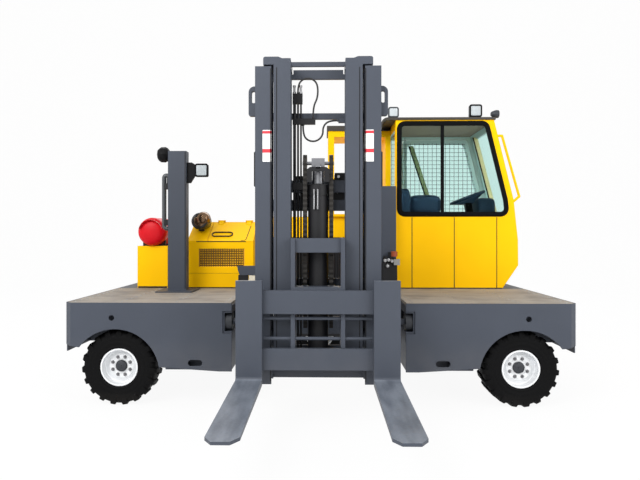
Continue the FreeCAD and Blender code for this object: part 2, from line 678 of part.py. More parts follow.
def mast_carriage():
    """Reach frame: two side arms with roller axles, a cross beam and the mast's pivot pins."""
    arm = plate_yz([(PIVOT_Y - 60, PIVOT_Z - 70), (PIVOT_Y + 60, PIVOT_Z - 70),
                    (PIVOT_Y + 160, ARM_LOW), (ARM_END, ARM_LOW), (ARM_END, ARM_TOP),
                    (PIVOT_Y + 90, ARM_TOP), (PIVOT_Y - 60, PIVOT_Z + 180)], ARM_X)
    pin = rod((ARM_X[1], PIVOT_Y, PIVOT_Z), (INNER_HALF + 15, PIVOT_Y, PIVOT_Z), PIVOT_R)
    axles = [rod((ARM_X[0], y, ROLLER_Z), (CHANNEL_HALF + 2, y, ROLLER_Z), ROLLER_AXLE_R)
             for y in ROLLER_PLACES]
    lug = box((ARM_X[0], REACH_X + REACH_ROD_R), (REACH_EYE_Y - 20, REACH_EYE_Y + 20),
              (REACH_Z - 25, ARM_LOW + 40))
    gap = TILT_BARREL_R + 6
    ears = []
    for x in (TILT_X - gap - EAR_T, TILT_X + gap):
        ear = plate_yz([(TILT_FOOT_Y - 45, BEAM_TOP - 10), (TILT_FOOT_Y + 45, BEAM_TOP - 10),
                        (TILT_FOOT_Y + 30, TILT_FOOT_Z + 30), (TILT_FOOT_Y - 30, TILT_FOOT_Z + 30)],
                       (x, x + EAR_T))
        ears.append(ear)
    tilt_pin = rod((TILT_X - gap - EAR_T, TILT_FOOT_Y, TILT_FOOT_Z),
                   (TILT_X + gap + EAR_T, TILT_FOOT_Y, TILT_FOOT_Z), TILT_PIN_R)
    side = fused([arm, pin, lug, tilt_pin] + axles + ears)
    beam = box((-ARM_X[0], ARM_X[0]), BEAM_Y, (ARM_LOW, BEAM_TOP))
    return fused(both_sides(side) + [beam])


def reach_rollers():
    x0 = CHANNEL_HALF
    rollers = []
    for y in ROLLER_PLACES:
        roller = tube((x0 + 3, y, ROLLER_Z), (x0 + 3 + ROLLER_W, y, ROLLER_Z), ROLLER_R, 12)
        hub = rod((x0 + 2, y, ROLLER_Z), (x0 + 1 + ROLLER_W, y, ROLLER_Z), 12)
        rollers += both_sides(roller.fuse(hub).removeSplitter())
    return rollers


def reach_rods():
    eye = REACH_EYE_Y + 20
    end = REACH_EYE_Y + REACH_STROKE + 75
    return both_sides(rod((REACH_X, eye, REACH_Z), (REACH_X, end, REACH_Z), REACH_ROD_R))


def drop(top, place):
    """Z range of a piece whose upper edge lies a given drop below the top."""
    return (top - place[0] - place[1], top - place[0])


def outer_mast():
    """Two channels open towards each other, joined behind by ties."""
    x = (OUTER_LIP, OUTER_HALF)
    z = (OUTER_LOW, OUTER_TOP)
    web = box((OUTER_HALF - FLANGE_T, OUTER_HALF), (MAST_FRONT, MAST_BACK), z)
    flanges = [box(x, (MAST_FRONT, MAST_FRONT + FLANGE_T), z),
               box(x, (MAST_BACK - FLANGE_T, MAST_BACK), z)]
    eye_x = (OUTER_HALF - 4, OUTER_HALF + EYE_OUT)
    eye_z = (OUTER_TOP - EYE_PLATE[1], OUTER_TOP - EYE_PLATE[0])
    eye = plate_xz([(eye_x[0], eye_z[0]), (eye_x[1], eye_z[0], 20), (eye_x[1], eye_z[1], 45),
                    (eye_x[0], eye_z[1])], (MAST_AXIS_Y - 40, MAST_AXIS_Y - 10))
    eye_hole = rounded_xz((OUTER_HALF + 4, OUTER_HALF + 4 + EYE_HOLE_W),
                          (eye_z[1] - 38 - EYE_HOLE_H, eye_z[1] - 38),
                          (MAST_AXIS_Y - 41, MAST_AXIS_Y - 9), EYE_HOLE_W / 2 - 0.5)
    foot = box((OUTER_LIP + 8, OUTER_HALF), (MAST_BACK, PIVOT_Y + 40), (PIVOT_Z - 50, LIFT_FOOT_Z))
    sleeve = rod((INNER_HALF + 5, PIVOT_Y, PIVOT_Z), (ARM_X[0] - 30, PIVOT_Y, PIVOT_Z), 58)
    ears = [box((a, a + 12), (TIE_Y[0], TILT_EYE_Y + 25), (TILT_EYE_Z - 30, TILT_EYE_Z + 30))
            for a in (TILT_X - 34, TILT_X + 22)]
    eye_pin = rod((TILT_X - 34, TILT_EYE_Y, TILT_EYE_Z), (TILT_X + 34, TILT_EYE_Y, TILT_EYE_Z),
                  TILT_PIN_R)
    foot_z = (OUTER_LOW, OUTER_LOW + FOOT_TIE_H)
    root = box(x, (MAST_BACK - 2, TIE_Y[1]), foot_z)
    side = fused([web, foot, sleeve, root, eye.cut(eye_hole)] + flanges)
    side = side.cut(rod((INNER_HALF, PIVOT_Y, PIVOT_Z), (ARM_X[0], PIVOT_Y, PIVOT_Z),
                        PIVOT_R + ROD_FIT))
    upper = drop(OUTER_TOP, UPPER_TIE)
    middle = drop(OUTER_TOP, MIDDLE_TIE)
    tilt = (TILT_EYE_Z - TILT_TIE_HALF, TILT_EYE_Z + TILT_TIE_HALF)
    top = (OUTER_TOP - 45, OUTER_TOP - 5)
    ties = [box((-OUTER_HALF, OUTER_HALF), TIE_Y, z) for z in (foot_z, tilt, middle, upper, top)]
    crown = box((10 - INNER_LIP, INNER_LIP - 10), TIE_Y, (OUTER_TOP + TOP_TIE[0] - TOP_TIE[1],
                                                          OUTER_TOP + TOP_TIE[0]))
    clamps = [box((LIFT_X - 55, OUTER_HALF), (MAST_BACK - 2, LIFT_Y + 55), z)
              for z in (tilt, middle, upper, top)]
    mast = fused(both_sides(side) + ties + [crown]
                 + [piece for part in clamps + ears + [eye_pin] for piece in both_sides(part)])
    holes = both_sides(rod((LIFT_X, LIFT_Y, LIFT_FOOT_Z), (LIFT_X, LIFT_Y, OUTER_TOP + 1),
                           LIFT_BARREL_R + SEAT_GAP))
    return cut(mast, holes)


def lift_barrels():
    z = (LIFT_FOOT_Z, LIFT_BARREL_TOP)
    barrel = rod((LIFT_X, LIFT_Y, z[0]), (LIFT_X, LIFT_Y, z[1]), LIFT_BARREL_R)
    bore = rod((LIFT_X, LIFT_Y, z[0] + 15), (LIFT_X, LIFT_Y, z[1] + 1), LIFT_ROD_R + ROD_FIT)
    return both_sides(barrel.cut(bore))


def inner_mast():
    """Inner channels open towards the fork carriage, capped above the outer mast."""
    z = (INNER_LOW, INNER_TOP)
    x = (INNER_LIP, INNER_HALF)
    web_x = (INNER_HALF - INNER_WEB_IN, INNER_HALF - INNER_WEB_IN + 20)
    web = box(web_x, (INNER_FRONT, INNER_BACK), z)
    flanges = [box(x, (INNER_FRONT, INNER_FRONT + INNER_FLANGE_T), z),
               box(x, (INNER_BACK - INNER_FLANGE_T, INNER_BACK), z)]
    crest = INNER_TOP + CAP_T
    cap = plate_xz([(INNER_LIP, INNER_TOP), (CAP_HALF, INNER_TOP), (CAP_HALF, crest, 15),
                    (CAP_HALF - 113, crest, 20), (CAP_HALF - 143, crest - 12),
                    (INNER_LIP, crest - 12)], (INNER_FRONT, LIFT_Y + 30))
    roller_end = OUTER_HALF - FLANGE_T - 7
    axles = [rod((web_x[0] + 10, MAST_AXIS_Y, h), (INNER_HALF + 3, MAST_AXIS_Y, h), 20)
             for h in INNER_ROLLERS]
    rollers = [rod((INNER_HALF + 2, MAST_AXIS_Y, h), (roller_end, MAST_AXIS_Y, h), INNER_ROLLER_R)
               for h in INNER_ROLLERS]
    side = fused([web, cap] + flanges + axles + rollers)
    tie_y = (INNER_BACK, INNER_BACK + 20)
    levels = ((INNER_LOW, INNER_LOW + INNER_FOOT_TIE_H), drop(INNER_TOP, INNER_MIDDLE_TIE),
              (INNER_TOP + INNER_TOP_TIE[0] - INNER_TOP_TIE[1], INNER_TOP + INNER_TOP_TIE[0]))
    ties = [box((-INNER_HALF, INNER_HALF), tie_y, h) for h in levels]
    shelf = box((-150, 150), (MAST_FRONT + 10, tie_y[1]), (INNER_LOW, INNER_LOW + 20))
    bracket = box((HOSE_END_X + FITTING_L, INNER_LIP + 1), (INNER_BACK - INNER_FLANGE_T, INNER_BACK),
                  HOSE_BRACKET_Z)
    fitting = rod((HOSE_END_X, HOSE_Y, LOWER_HOSE[-1][1]),
                  (HOSE_END_X + FITTING_L + 2, HOSE_Y, LOWER_HOSE[-1][1]), FITTING_R)
    return fused(both_sides(side) + ties + [shelf, bracket, fitting])


def lift_rods():
    return both_sides(rod((LIFT_X, LIFT_Y, PIVOT_Z + 460), (LIFT_X, LIFT_Y, INNER_TOP), LIFT_ROD_R))


def mast_pipes():
    """Lift pipes clamped to the inner mast's ties, with the manifold and junction of the hoses."""
    foot = INNER_LOW + INNER_FOOT_TIE_H / 2
    y = (INNER_BACK - 28, INNER_BACK)
    body = []
    for x, radius in zip(PIPE_X, PIPE_RADII):
        pipe_y = INNER_BACK - SEAT_GAP - radius
        body.append(rod((x, pipe_y, foot), (x, pipe_y, PIPE_TOP - 10), radius))
    middle = drop(INNER_TOP, INNER_MIDDLE_TIE)
    for z in ((foot - 15, foot + 15), (middle[0] + 20, middle[1] - 20),
              (PIPE_TOP - MANIFOLD_H, PIPE_TOP)):
        body.append(box(MANIFOLD_X, y, z))
    body.append(box(JUNCTION_X, y, JUNCTION_Z))
    for (x, z), way in ((UPPER_HOSE[0], -1), (UPPER_HOSE[-1], -1), (LOWER_HOSE[0], 1)):
        seat = z + way * SEAT_GAP
        body.append(rod((x, HOSE_Y, seat), (x, HOSE_Y, seat + way * (FITTING_L + 2)), FITTING_R))
    return fused(body)


def free_lift_barrel():
    z = (INNER_LOW + 20, FREE_BARREL_TOP)
    barrel = rod((0, MAST_AXIS_Y, z[0]), (0, MAST_AXIS_Y, z[1]), FREE_BARREL_R)
    return barrel.cut(rod((0, MAST_AXIS_Y, z[0] + 20), (0, MAST_AXIS_Y, z[1] + 1),
                          FREE_ROD_R + ROD_FIT))


def free_lift_head():
    """Rod of the free-lift cylinder with the cross head that carries two chain wheels."""
    y = MAST_AXIS_Y
    stem = rod((0, y, 1000), (0, y, HEAD_Z - 25), FREE_ROD_R)
    head = box((-50, 50), (y - 40, y + 40), (HEAD_Z - 30, HEAD_Z + 35))
    reach = CHAIN_WHEEL_X[1] + 6
    axle = rod((-reach, y, HEAD_Z), (reach, y, HEAD_Z), 14)
    wheels = both_sides(rod((CHAIN_WHEEL_X[0], y, HEAD_Z), (CHAIN_WHEEL_X[1], y, HEAD_Z),
                            CHAIN_WHEEL_R))
    return fused([stem, head, axle] + wheels)


def lift_chains():
    """Leaf chains over the chain wheels: front runs to the carriage, rear runs to the barrel."""
    angles = [math.pi * i / CHAIN_FACETS for i in range(CHAIN_FACETS + 1)]
    inner = (CHAIN_WHEEL_R + SEAT_GAP) / math.cos(math.pi / CHAIN_FACETS / 2)
    outer = inner + CHAIN_T
    y = MAST_AXIS_Y
    front, rear = CHAIN_ENDS
    over = [(y - outer * math.cos(a), HEAD_Z + outer * math.sin(a)) for a in angles]
    under = [(y + inner * math.cos(a), HEAD_Z + inner * math.sin(a)) for a in angles]
    outline = [(y - outer, front)] + over + [(y + outer, rear), (y + inner, rear)] + under
    return both_sides(plate_yz(outline + [(y - inner, front)],
                               (CHAIN_WHEEL_X[0] - 1, CHAIN_WHEEL_X[1] + 1)))


# ---------------------------------------------------------------- fork carriage

def fork_carriage():
    """Two fork bars and the mast frame behind them, with guide rollers and chain anchors."""
    bars = [box((-BAR_HALF, BAR_HALF), (SHANK_BACK, BAR_BACK), z) for z in (UPPER_BAR, LOWER_BAR)]
    side = box(SIDE_X, (BAR_BACK, SIDE_END), (LOWER_BAR[0], CARRIAGE_TOP))
    rollers = []
    for z in CARRIAGE_ROLLERS:
        rollers.append(rod((SIDE_X[0], MAST_AXIS_Y, z), (INNER_LIP + 4, MAST_AXIS_Y, z), 20))
        rollers.append(rod((INNER_LIP + 2, MAST_AXIS_Y, z),
                           (INNER_HALF - INNER_WEB_IN - 3, MAST_AXIS_Y, z), CARRIAGE_ROLLER_R))
    top = box((-SIDE_X[1], SIDE_X[1]), TOP_BAR_Y, (CARRIAGE_TOP - TOP_BAR_H, CARRIAGE_TOP))
    anchor = box((-SIDE_X[0], SIDE_X[0]), (BAR_BACK, MAST_FRONT + 10), ANCHOR_Z)
    brace = box((-SIDE_X[0], SIDE_X[0]), (BAR_BACK, BAR_BACK + 45), BRACE_Z)
    side = fused([side] + rollers)
    chain_y = (MAST_AXIS_Y - CHAIN_WHEEL_R - SEAT_GAP - CHAIN_T, MAST_AXIS_Y - CHAIN_WHEEL_R)
    pad = box((CHAIN_WHEEL_X[0] - 13, CHAIN_WHEEL_X[1] + 13), (MAST_FRONT, chain_y[1] + 14), ANCHOR_Z)
    slot = box((CHAIN_WHEEL_X[0] - 5, CHAIN_WHEEL_X[1] + 5), (chain_y[0] - 5, chain_y[1] + 5),
               (ANCHOR_Z[0] - 10, ANCHOR_Z[1] + 10))
    body = fused(bars + both_sides(side) + [top, anchor, brace] + both_sides(pad))
    return cut(body, both_sides(slot))


def fork(side):
    """L-shaped fork that hangs on both carriage bars."""
    x = FORK_X * side
    half = FORK_W / 2
    tip = SHANK_FRONT - FORK_LENGTH
    heel_top = FORK_LOW + SHANK_T
    back = SHANK_BACK - SEAT_GAP - 0.1
    outline = [(back, FORK_LOW, 50), (back, FORK_TOP), (SHANK_FRONT, FORK_TOP),
               (SHANK_FRONT, heel_top, 25), (tip, FORK_LOW + FORK_TIP_T), (tip, FORK_LOW)]
    body = plate_yz(outline, (x - half, x + half))
    plan = plate_xy([(x - half, SHANK_BACK), (x - half, tip + 70), (x - half + 45, tip),
                     (x + half - 45, tip), (x + half, tip + 70), (x + half, SHANK_BACK)],
                    (FORK_LOW - 1, FORK_TOP + 1))
    body = body.common(plan)
    hook_x = (x - half + 20, x + half - 20)
    front = SHANK_BACK - 1
    rear = (BAR_BACK + HOOK_GAP, BAR_BACK + 20)
    top = UPPER_BAR[1] + HOOK_GAP
    upper = plate_yz([(front, top), (front, FORK_TOP - 20), (rear[1], FORK_TOP - 30),
                      (rear[1], UPPER_BAR[1] - 40), (rear[0], UPPER_BAR[1] - 40), (rear[0], top)],
                     hook_x)
    low = LOWER_BAR[0] - HOOK_GAP
    lower = plate_yz([(front, low), (front, low - 39), (rear[1], low - 39),
                      (rear[1], LOWER_BAR[0] + 40), (rear[0], LOWER_BAR[0] + 40), (rear[0], low)],
                     hook_x)
    return fused([body, upper, lower])


# ---------------------------------------------------------------- tilt cylinders

def tilt_line():
    """Unit vector from the barrel's foot to the rod's eye, and their distance."""
    line = vec(0, TILT_EYE_Y - TILT_FOOT_Y, TILT_EYE_Z - TILT_FOOT_Z)
    length = line.Length
    return line.normalize(), length


def tilt_barrels():
    along, length = tilt_line()
    foot = vec(TILT_X, TILT_FOOT_Y, TILT_FOOT_Z)
    head = foot + along * (length * 0.62)
    barrel = rod(tuple(foot), tuple(head), TILT_BARREL_R)
    boss = rod((TILT_X - 20, TILT_FOOT_Y, TILT_FOOT_Z), (TILT_X + 20, TILT_FOOT_Y, TILT_FOOT_Z),
               TILT_BARREL_R)
    hole = rod((TILT_X - 40, TILT_FOOT_Y, TILT_FOOT_Z), (TILT_X + 40, TILT_FOOT_Y, TILT_FOOT_Z),
               TILT_PIN_R + ROD_FIT)
    bore = rod(tuple(foot + along * 60), tuple(head + along), TILT_ROD_R + ROD_FIT)
    return both_sides(fused([barrel, boss]).cut(bore).cut(hole))


def tilt_rods():
    along, length = tilt_line()
    foot = vec(TILT_X, TILT_FOOT_Y, TILT_FOOT_Z)
    eye = vec(TILT_X, TILT_EYE_Y, TILT_EYE_Z)
    stem = rod(tuple(foot + along * (length * 0.3)), tuple(eye - along * 24), TILT_ROD_R)
    ring = rod((TILT_X - 16, TILT_EYE_Y, TILT_EYE_Z), (TILT_X + 16, TILT_EYE_Y, TILT_EYE_Z),
               TILT_EYE_R)
    hole = rod((TILT_X - 17, TILT_EYE_Y, TILT_EYE_Z), (TILT_X + 17, TILT_EYE_Y, TILT_EYE_Z),
               TILT_PIN_R + TILT_EYE_GAP)
    return both_sides(fused([stem, ring]).cut(hole))


# ---------------------------------------------------------------- engine side

def hood_block():
    """Outer form of the engine housing."""
    profile = [(BODY_FRONT, DECK_TOP), (BODY_FRONT, HOOD_FRONT_TOP), (LID_REAR, HOOD_REAR_TOP),
               (BODY_REAR, HOOD_REAR_TOP), (BODY_REAR, DECK_TOP)]
    return plate_yz(profile, HOOD_X)


def hood_hinges():
    """X of the two hinges along the lid's rear edge."""
    return (HOOD_X[0] + HOOD_SIDE_STEP + 90, HOOD_X[1] - 90)


def hood_body():
    """Engine housing with a fixed shoulder beside the lid, open under it."""
    wall = HOOD_WALL
    room = [(BODY_FRONT + wall, DECK_TOP - 1), (BODY_FRONT + wall, HOOD_FRONT_TOP - wall),
            (LID_REAR, HOOD_REAR_TOP - wall), (BODY_REAR - wall, HOOD_REAR_TOP - wall),
            (BODY_REAR - wall, DECK_TOP - 1)]
    body = hood_block().cut(plate_yz(room, (HOOD_X[0] + wall, HOOD_X[1] - wall)))
    slope = (HOOD_REAR_TOP - HOOD_FRONT_TOP) / HOOD_LID_DEPTH
    lid_gap = plate_yz([(BODY_FRONT - 1, HOOD_FRONT_TOP - LID_T - slope),
                        (BODY_FRONT - 1, HOOD_REAR_TOP + 9), (LID_REAR + 5, HOOD_REAR_TOP + 9),
                        (LID_REAR + 5, HOOD_REAR_TOP - LID_T + 5 * slope)],
                       (HOOD_X[0] + HOOD_SIDE_STEP, HOOD_X[1] + 1))
    well = plate_yz([(BODY_FRONT + 40, HOOD_FRONT_TOP - 60), (BODY_FRONT + 40, HOOD_REAR_TOP),
                     (LID_REAR - 40, HOOD_REAR_TOP), (LID_REAR - 40, HOOD_FRONT_TOP - 60)],
                    (HOOD_X[0] + HOOD_SIDE_STEP + 40, HOOD_X[1] - 40))
    grille = box(grille_width(), (BODY_FRONT - 1, BODY_FRONT + wall + 1), GRILLE_Z)
    body = cut(body, [lid_gap, well, grille])
    hinges = []
    for x in hood_hinges():
        hinges.append(rod((x - 40, LID_REAR, HOOD_HINGE_Z), (x + 40, LID_REAR, HOOD_HINGE_Z),
                          HINGE_PIN_R))
        for ear in ((x - 40, x - 30), (x + 30, x + 40)):
            hinges.append(box(ear, (LID_REAR - HINGE_R, LID_REAR + 20),
                              (HOOD_REAR_TOP + 1, HOOD_HINGE_Z + HINGE_R)))
            hinges.append(box(ear, (LID_REAR + 6, LID_REAR + 20),
                              (HOOD_REAR_TOP - 2, HOOD_HINGE_Z)))
    return fused([body] + hinges)


def grille_width():
    return (HOOD_X[0] + GRILLE_IN[0], HOOD_X[1] - GRILLE_IN[1])


def hood_lid():
    """Sloping lid with its two hinge straps."""
    slope = (HOOD_REAR_TOP - HOOD_FRONT_TOP) / HOOD_LID_DEPTH
    outline = [(BODY_FRONT, HOOD_FRONT_TOP - LID_T + SEAT_GAP), (BODY_FRONT, HOOD_FRONT_TOP),
               (LID_REAR, HOOD_REAR_TOP), (LID_REAR, HOOD_REAR_TOP - LID_T + SEAT_GAP)]
    lid = plate_yz(outline, (HOOD_X[0] + HOOD_SIDE_STEP + 5, HOOD_X[1]))
    straps = []
    for x in hood_hinges():
        strap = plate_yz([(LID_REAR - 60, HOOD_REAR_TOP - 60 * slope - 2),
                          (LID_REAR - 60, HOOD_REAR_TOP - 60 * slope + 6),
                          (LID_REAR, HOOD_HINGE_Z + 2), (LID_REAR, HOOD_REAR_TOP - 2)],
                         (x - 28, x + 28))
        barrel = rod((x - 28, LID_REAR, HOOD_HINGE_Z), (x + 28, LID_REAR, HOOD_HINGE_Z), HINGE_R)
        straps += [strap, barrel]
    bores = [rod((x - 30, LID_REAR, HOOD_HINGE_Z), (x + 30, LID_REAR, HOOD_HINGE_Z),
                 HINGE_PIN_R + ROD_FIT) for x in hood_hinges()]
    notches = [box((x + way * 29, x + way * 41), (LID_REAR - 14, LID_REAR + 1),
                   (HOOD_REAR_TOP - 2 * LID_T, HOOD_REAR_TOP + 1))
               for x in hood_hinges() for way in (-1, 1)]
    return cut(fused([lid] + straps), bores + notches)


def hood_grille():
    x = grille_width()
    frame = box(x, (BODY_FRONT + 4, BODY_FRONT + 14), GRILLE_Z)
    slots = []
    z = GRILLE_Z[0] + 10
    while z < GRILLE_Z[1] - GRILLE_PITCH:
        slots.append(box((x[0] + 12, x[1] - 12), (BODY_FRONT + 3, BODY_FRONT + 15),
                         (z, z + GRILLE_PITCH - GRILLE_BAR)))
        z += GRILLE_PITCH
    return cut(frame, slots)


def engine_block():
    return box((HOOD_X[0] + ENGINE_IN[0], HOOD_X[1] - ENGINE_IN[0]),
               (BODY_FRONT + ENGINE_IN[1], REAR - ENGINE_IN[1]), (DECK_TOP, ENGINE_TOP))


def gas_tank():
    """Gas bottle lying along Y, with domed ends and a guard collar round its valve."""
    y0 = BODY_FRONT - TANK_OUT
    ends = lathe_y([(0, 0), (0, TANK_R * 0.55), (20, TANK_R * 0.85), (50, TANK_R),
                    (TANK_LENGTH - 50, TANK_R), (TANK_LENGTH - 20, TANK_R * 0.85),
                    (TANK_LENGTH, TANK_R * 0.55), (TANK_LENGTH, 0)], TANK_X, y0, TANK_Z)
    collar = tube((TANK_X, y0 - 45, TANK_Z), (TANK_X, y0 + 20, TANK_Z), COLLAR_R, COLLAR_R - 6)
    valve = rod((TANK_X, y0 - 35, TANK_Z), (TANK_X, y0 + 5, TANK_Z), 18)
    return fused([ends, collar, valve])


def tank_saddle():
    """Two cradles that hold the tank on top of the battery box."""
    cradles = []
    for y in (BODY_FRONT + 60, BODY_FRONT + 400):
        block = box((TANK_X - 120, TANK_X + 120), (y, y + 40), (BATTERY_TOP, TANK_Z - 60))
        cradles.append(block.cut(rod((TANK_X, y - 1, TANK_Z), (TANK_X, y + 41, TANK_Z),
                                     TANK_R + SEAT_GAP)))
    return cradles


def post():
    """Hollow square post on a base plate."""
    y = (POST_Y - POST_DEPTH / 2, POST_Y + POST_DEPTH / 2)
    t = POST_WALL
    body = box(POST_X, y, (DECK_TOP, POST_TOP)).cut(
        box((POST_X[0] + t, POST_X[1] - t), (y[0] + t, y[1] - t), (DECK_TOP + t, POST_TOP - t)))
    mid = (POST_X[0] + POST_X[1]) / 2
    foot = box((mid - POST_FOOT[0], mid + POST_FOOT[0]), (POST_Y - POST_FOOT[1], POST_Y + POST_FOOT[1]),
               (DECK_TOP, DECK_TOP + 2 * t))
    return fused([body, foot])


def work_lamp(x, y, z):
    """Square work lamp that faces the front, from its lower edge's middle."""
    half = LAMP_W / 2
    rim = LAMP_RIM
    case = rounded_xz((x - half, x + half), (z, z + LAMP_W), (y, y + LAMP_D), 14)
    lens = rounded_xz((x - half + rim, x + half - rim), (z + rim, z + LAMP_W - rim), (y - 1, y + 8), 10)
    return case.cut(lens)


def work_lamps():
    """Two lamps on the post and three on the cab's roof, each with its bracket."""
    y = POST_Y - 40
    left_z, right_z = POST_LAMP_Z
    left = work_lamp(POST_X[0] - POST_LAMP_OUT[0] - 12, y, left_z)
    arm = box((POST_X[0] - 14, POST_X[0]), (POST_Y - 12, POST_Y + 12), (left_z + 40, left_z + 80))
    right = work_lamp(POST_X[1] + POST_LAMP_OUT[1], y, right_z)
    link = box((POST_X[1], POST_X[1] + POST_LAMP_OUT[1] - LAMP_W / 2 + 5), (POST_Y - 12, POST_Y + 12),
               (right_z + 40, right_z + 70))
    lamps = [fused([left, arm]), fused([right, link])]
    roof_z = CAB_ROOF_TOP + LAMP_FOOT
    for x, turn in ((ROOF_LAMP_X[0], 0), (ROOF_LAMP_X[1], 0), (ROOF_LAMP_X[2], 90)):
        lamp = work_lamp(x, BODY_FRONT + 20, roof_z)
        foot = box((x - 15, x + 15), (BODY_FRONT + 40, BODY_FRONT + 70), (CAB_ROOF_TOP, roof_z + 5))
        lamp.rotate(vec(x, BODY_FRONT + 55, 0), vec(0, 0, 1), turn)
        lamps.append(fused([lamp, foot]))
    return lamps


def exhaust_pipe():
    """Inverted U of pipe that stands behind the post."""
    x = POST_X[0] - 45
    y = POST_Y + 90
    bend = EXHAUST_BEND
    far = y + 2 * bend
    legs = [rod((x, y, DECK_TOP + 2 * POST_WALL + SEAT_GAP), (x, y, EXHAUST_TOP), EXHAUST_R),
            rod((x, far, TANK_Z + 60), (x, far, EXHAUST_TOP), EXHAUST_R)]
    ring = Part.makeTorus(bend, EXHAUST_R, vec(x, y + bend, EXHAUST_TOP), vec(1, 0, 0))
    arch = ring.common(box((x - 30, x + 30), (y - 40, far + 40), (EXHAUST_TOP, EXHAUST_TOP + 100)))
    return fused(legs + [arch])


def air_cleaner():
    """Round bowl of the air cleaner on a foot that stands on the hood's shoulder."""
    x = HOOD_X[0] + HOOD_SIDE_STEP / 2 + 10
    y = BODY_FRONT + 60
    r = CLEANER_R
    bowl = lathe_y([(0, 0), (0, r - 32), (20, r - 10), (60, r), (260, r), (260, 0)], x, y, CLEANER_Z)
    foot = box((x - 40, x + 40), (y + 60, y + 140), (HOOD_FRONT_TOP, CLEANER_Z - 60))
    return fused([bowl, foot]).cut(hood_block())


def rear_cover():
    """Hollow cover over the channel's rear end."""
    x = (HOOD_X[1] + 60, CAB_LEFT - 1)
    block = box(x, (COVER_FRONT, CAB_REAR), (DECK_TOP, COVER_TOP))
    room = box((x[0] + HOOD_WALL, x[1] - HOOD_WALL), (COVER_FRONT + HOOD_WALL, CAB_REAR - HOOD_WALL),
               (DECK_TOP - 1, COVER_TOP - HOOD_WALL))
    return block.cut(room)


def side_panel():
    return box(PANEL_X, (BODY_FRONT - PANEL_AHEAD[0], BODY_FRONT - PANEL_AHEAD[1]),
               (DECK_TOP, PANEL_TOP))


def valve_block():
    """Valve body with three round caps in a row and the spools' levers box."""
    y = (BODY_FRONT - VALVE_AHEAD[0], BODY_FRONT - VALVE_AHEAD[1])
    mid = (y[0] + y[1]) / 2
    base = box(PANEL_X, y, (DECK_TOP, VALVE_TOP))
    caps = [rod((PANEL_X[0] + d, mid, VALVE_TOP), (PANEL_X[0] + d, mid, VALVE_TOP + h), 22)
            for d, h in ((35, 70), (85, 110), (122, 50))]
    return fused([base] + caps)


# ---------------------------------------------------------------- cab

def cab_bends():
    """Corners of the cab's raked end, from the floor to the eave."""
    return [(CAB_FOOT_X, DECK_TOP), (CAB_BELT_X, CAB_BELT_Z), (CAB_SILL_X, CAB_SILL_Z),
            (CAB_SHOULDER_X, CAB_SHOULDER_Z), (CAB_EAVE_X, CAB_EAVE_Z)]


def cab_edge(z):
    """X of the raked end at a height."""
    bends = cab_bends()
    for (x0, z0), (x1, z1) in zip(bends, bends[1:]):
        if z <= z1:
            return x0 + (x1 - x0) * (z - z0) / (z1 - z0)
    return CAB_EAVE_X


def cab_outline(inset):
    """Cab seen from the front: upright at the mast, raked at the far end."""
    t = inset
    return [(CAB_LEFT + t, DECK_TOP + t), (CAB_FOOT_X - t, DECK_TOP + t),
            (CAB_BELT_X - t, CAB_BELT_Z + t * 0.4), (CAB_SILL_X - t, CAB_SILL_Z),
            (CAB_SHOULDER_X - t, CAB_SHOULDER_Z), (CAB_EAVE_X - t, CAB_EAVE_Z),
            (CAB_LEFT + t, CAB_EAVE_Z)]


def raked(left, low, top, inset, y, radius):
    """Rounded panel with an upright left edge and a right edge that follows the raked end."""
    bends = [(x - inset, z) for x, z in cab_bends() if low + radius < z < top - radius]
    outline = [(left, low, radius), (cab_edge(low) - inset, low, radius)] + bends
    return plate_xz(outline + [(cab_edge(top) - inset, top, radius), (left, top, radius)], y)


def front_window(y, grow):
    return raked(WINDOW_LEFT - grow, WINDOW_LOW - grow, WINDOW_TOP + grow, WINDOW_IN - grow, y,
                 WINDOW_R)


def cab_front():
    """Front wall with its window and the seams between the lower panels."""
    wall = plate_xz(cab_outline(0), (BODY_FRONT, BODY_FRONT + CAB_WALL))
    seams = [box((x - SEAM_W / 2, x + SEAM_W / 2), (BODY_FRONT - 1, BODY_FRONT + SEAM_D),
                 (DECK_TOP - 1, WINDOW_LOW - CAB_WALL)) for x in SEAM_X]
    return cut(wall, [front_window((BODY_FRONT - 1, BODY_FRONT + CAB_WALL + 1), 0)] + seams)


def hinge_levels():
    return (DOOR_LOW + 180, DOOR_TOP - 220)


def cab_rear():
    """Rear wall with the doorway, a fixed side light and the door's hinge pins."""
    through = (CAB_REAR - CAB_WALL - 1, CAB_REAR + 1)
    wall = plate_xz(cab_outline(0), (CAB_REAR - CAB_WALL, CAB_REAR))
    side_light = rounded_xz((CAB_LEFT + LIGHT_IN, DOOR_LEFT - LIGHT_IN), (SILL_Z, DOOR_TOP),
                            through, LIGHT_R)
    doorway = raked(DOOR_LEFT, DOOR_LOW, DOOR_TOP, DOOR_IN, through, 50)
    wall = cut(wall, [side_light, doorway])
    hinges = []
    for z in hinge_levels():
        hinges.append(box((HINGE_X - 30, HINGE_X + 8), (CAB_REAR, HINGE_Y + 10), (z - 40, z - 25)))
        hinges.append(rod((HINGE_X, HINGE_Y, z - 30), (HINGE_X, HINGE_Y, z + 30), HINGE_PIN_R))
    return fused([wall] + hinges)


def end_window_depth():
    return (BODY_FRONT + CAB_WALL + 60, CAB_REAR - CAB_WALL - 60)


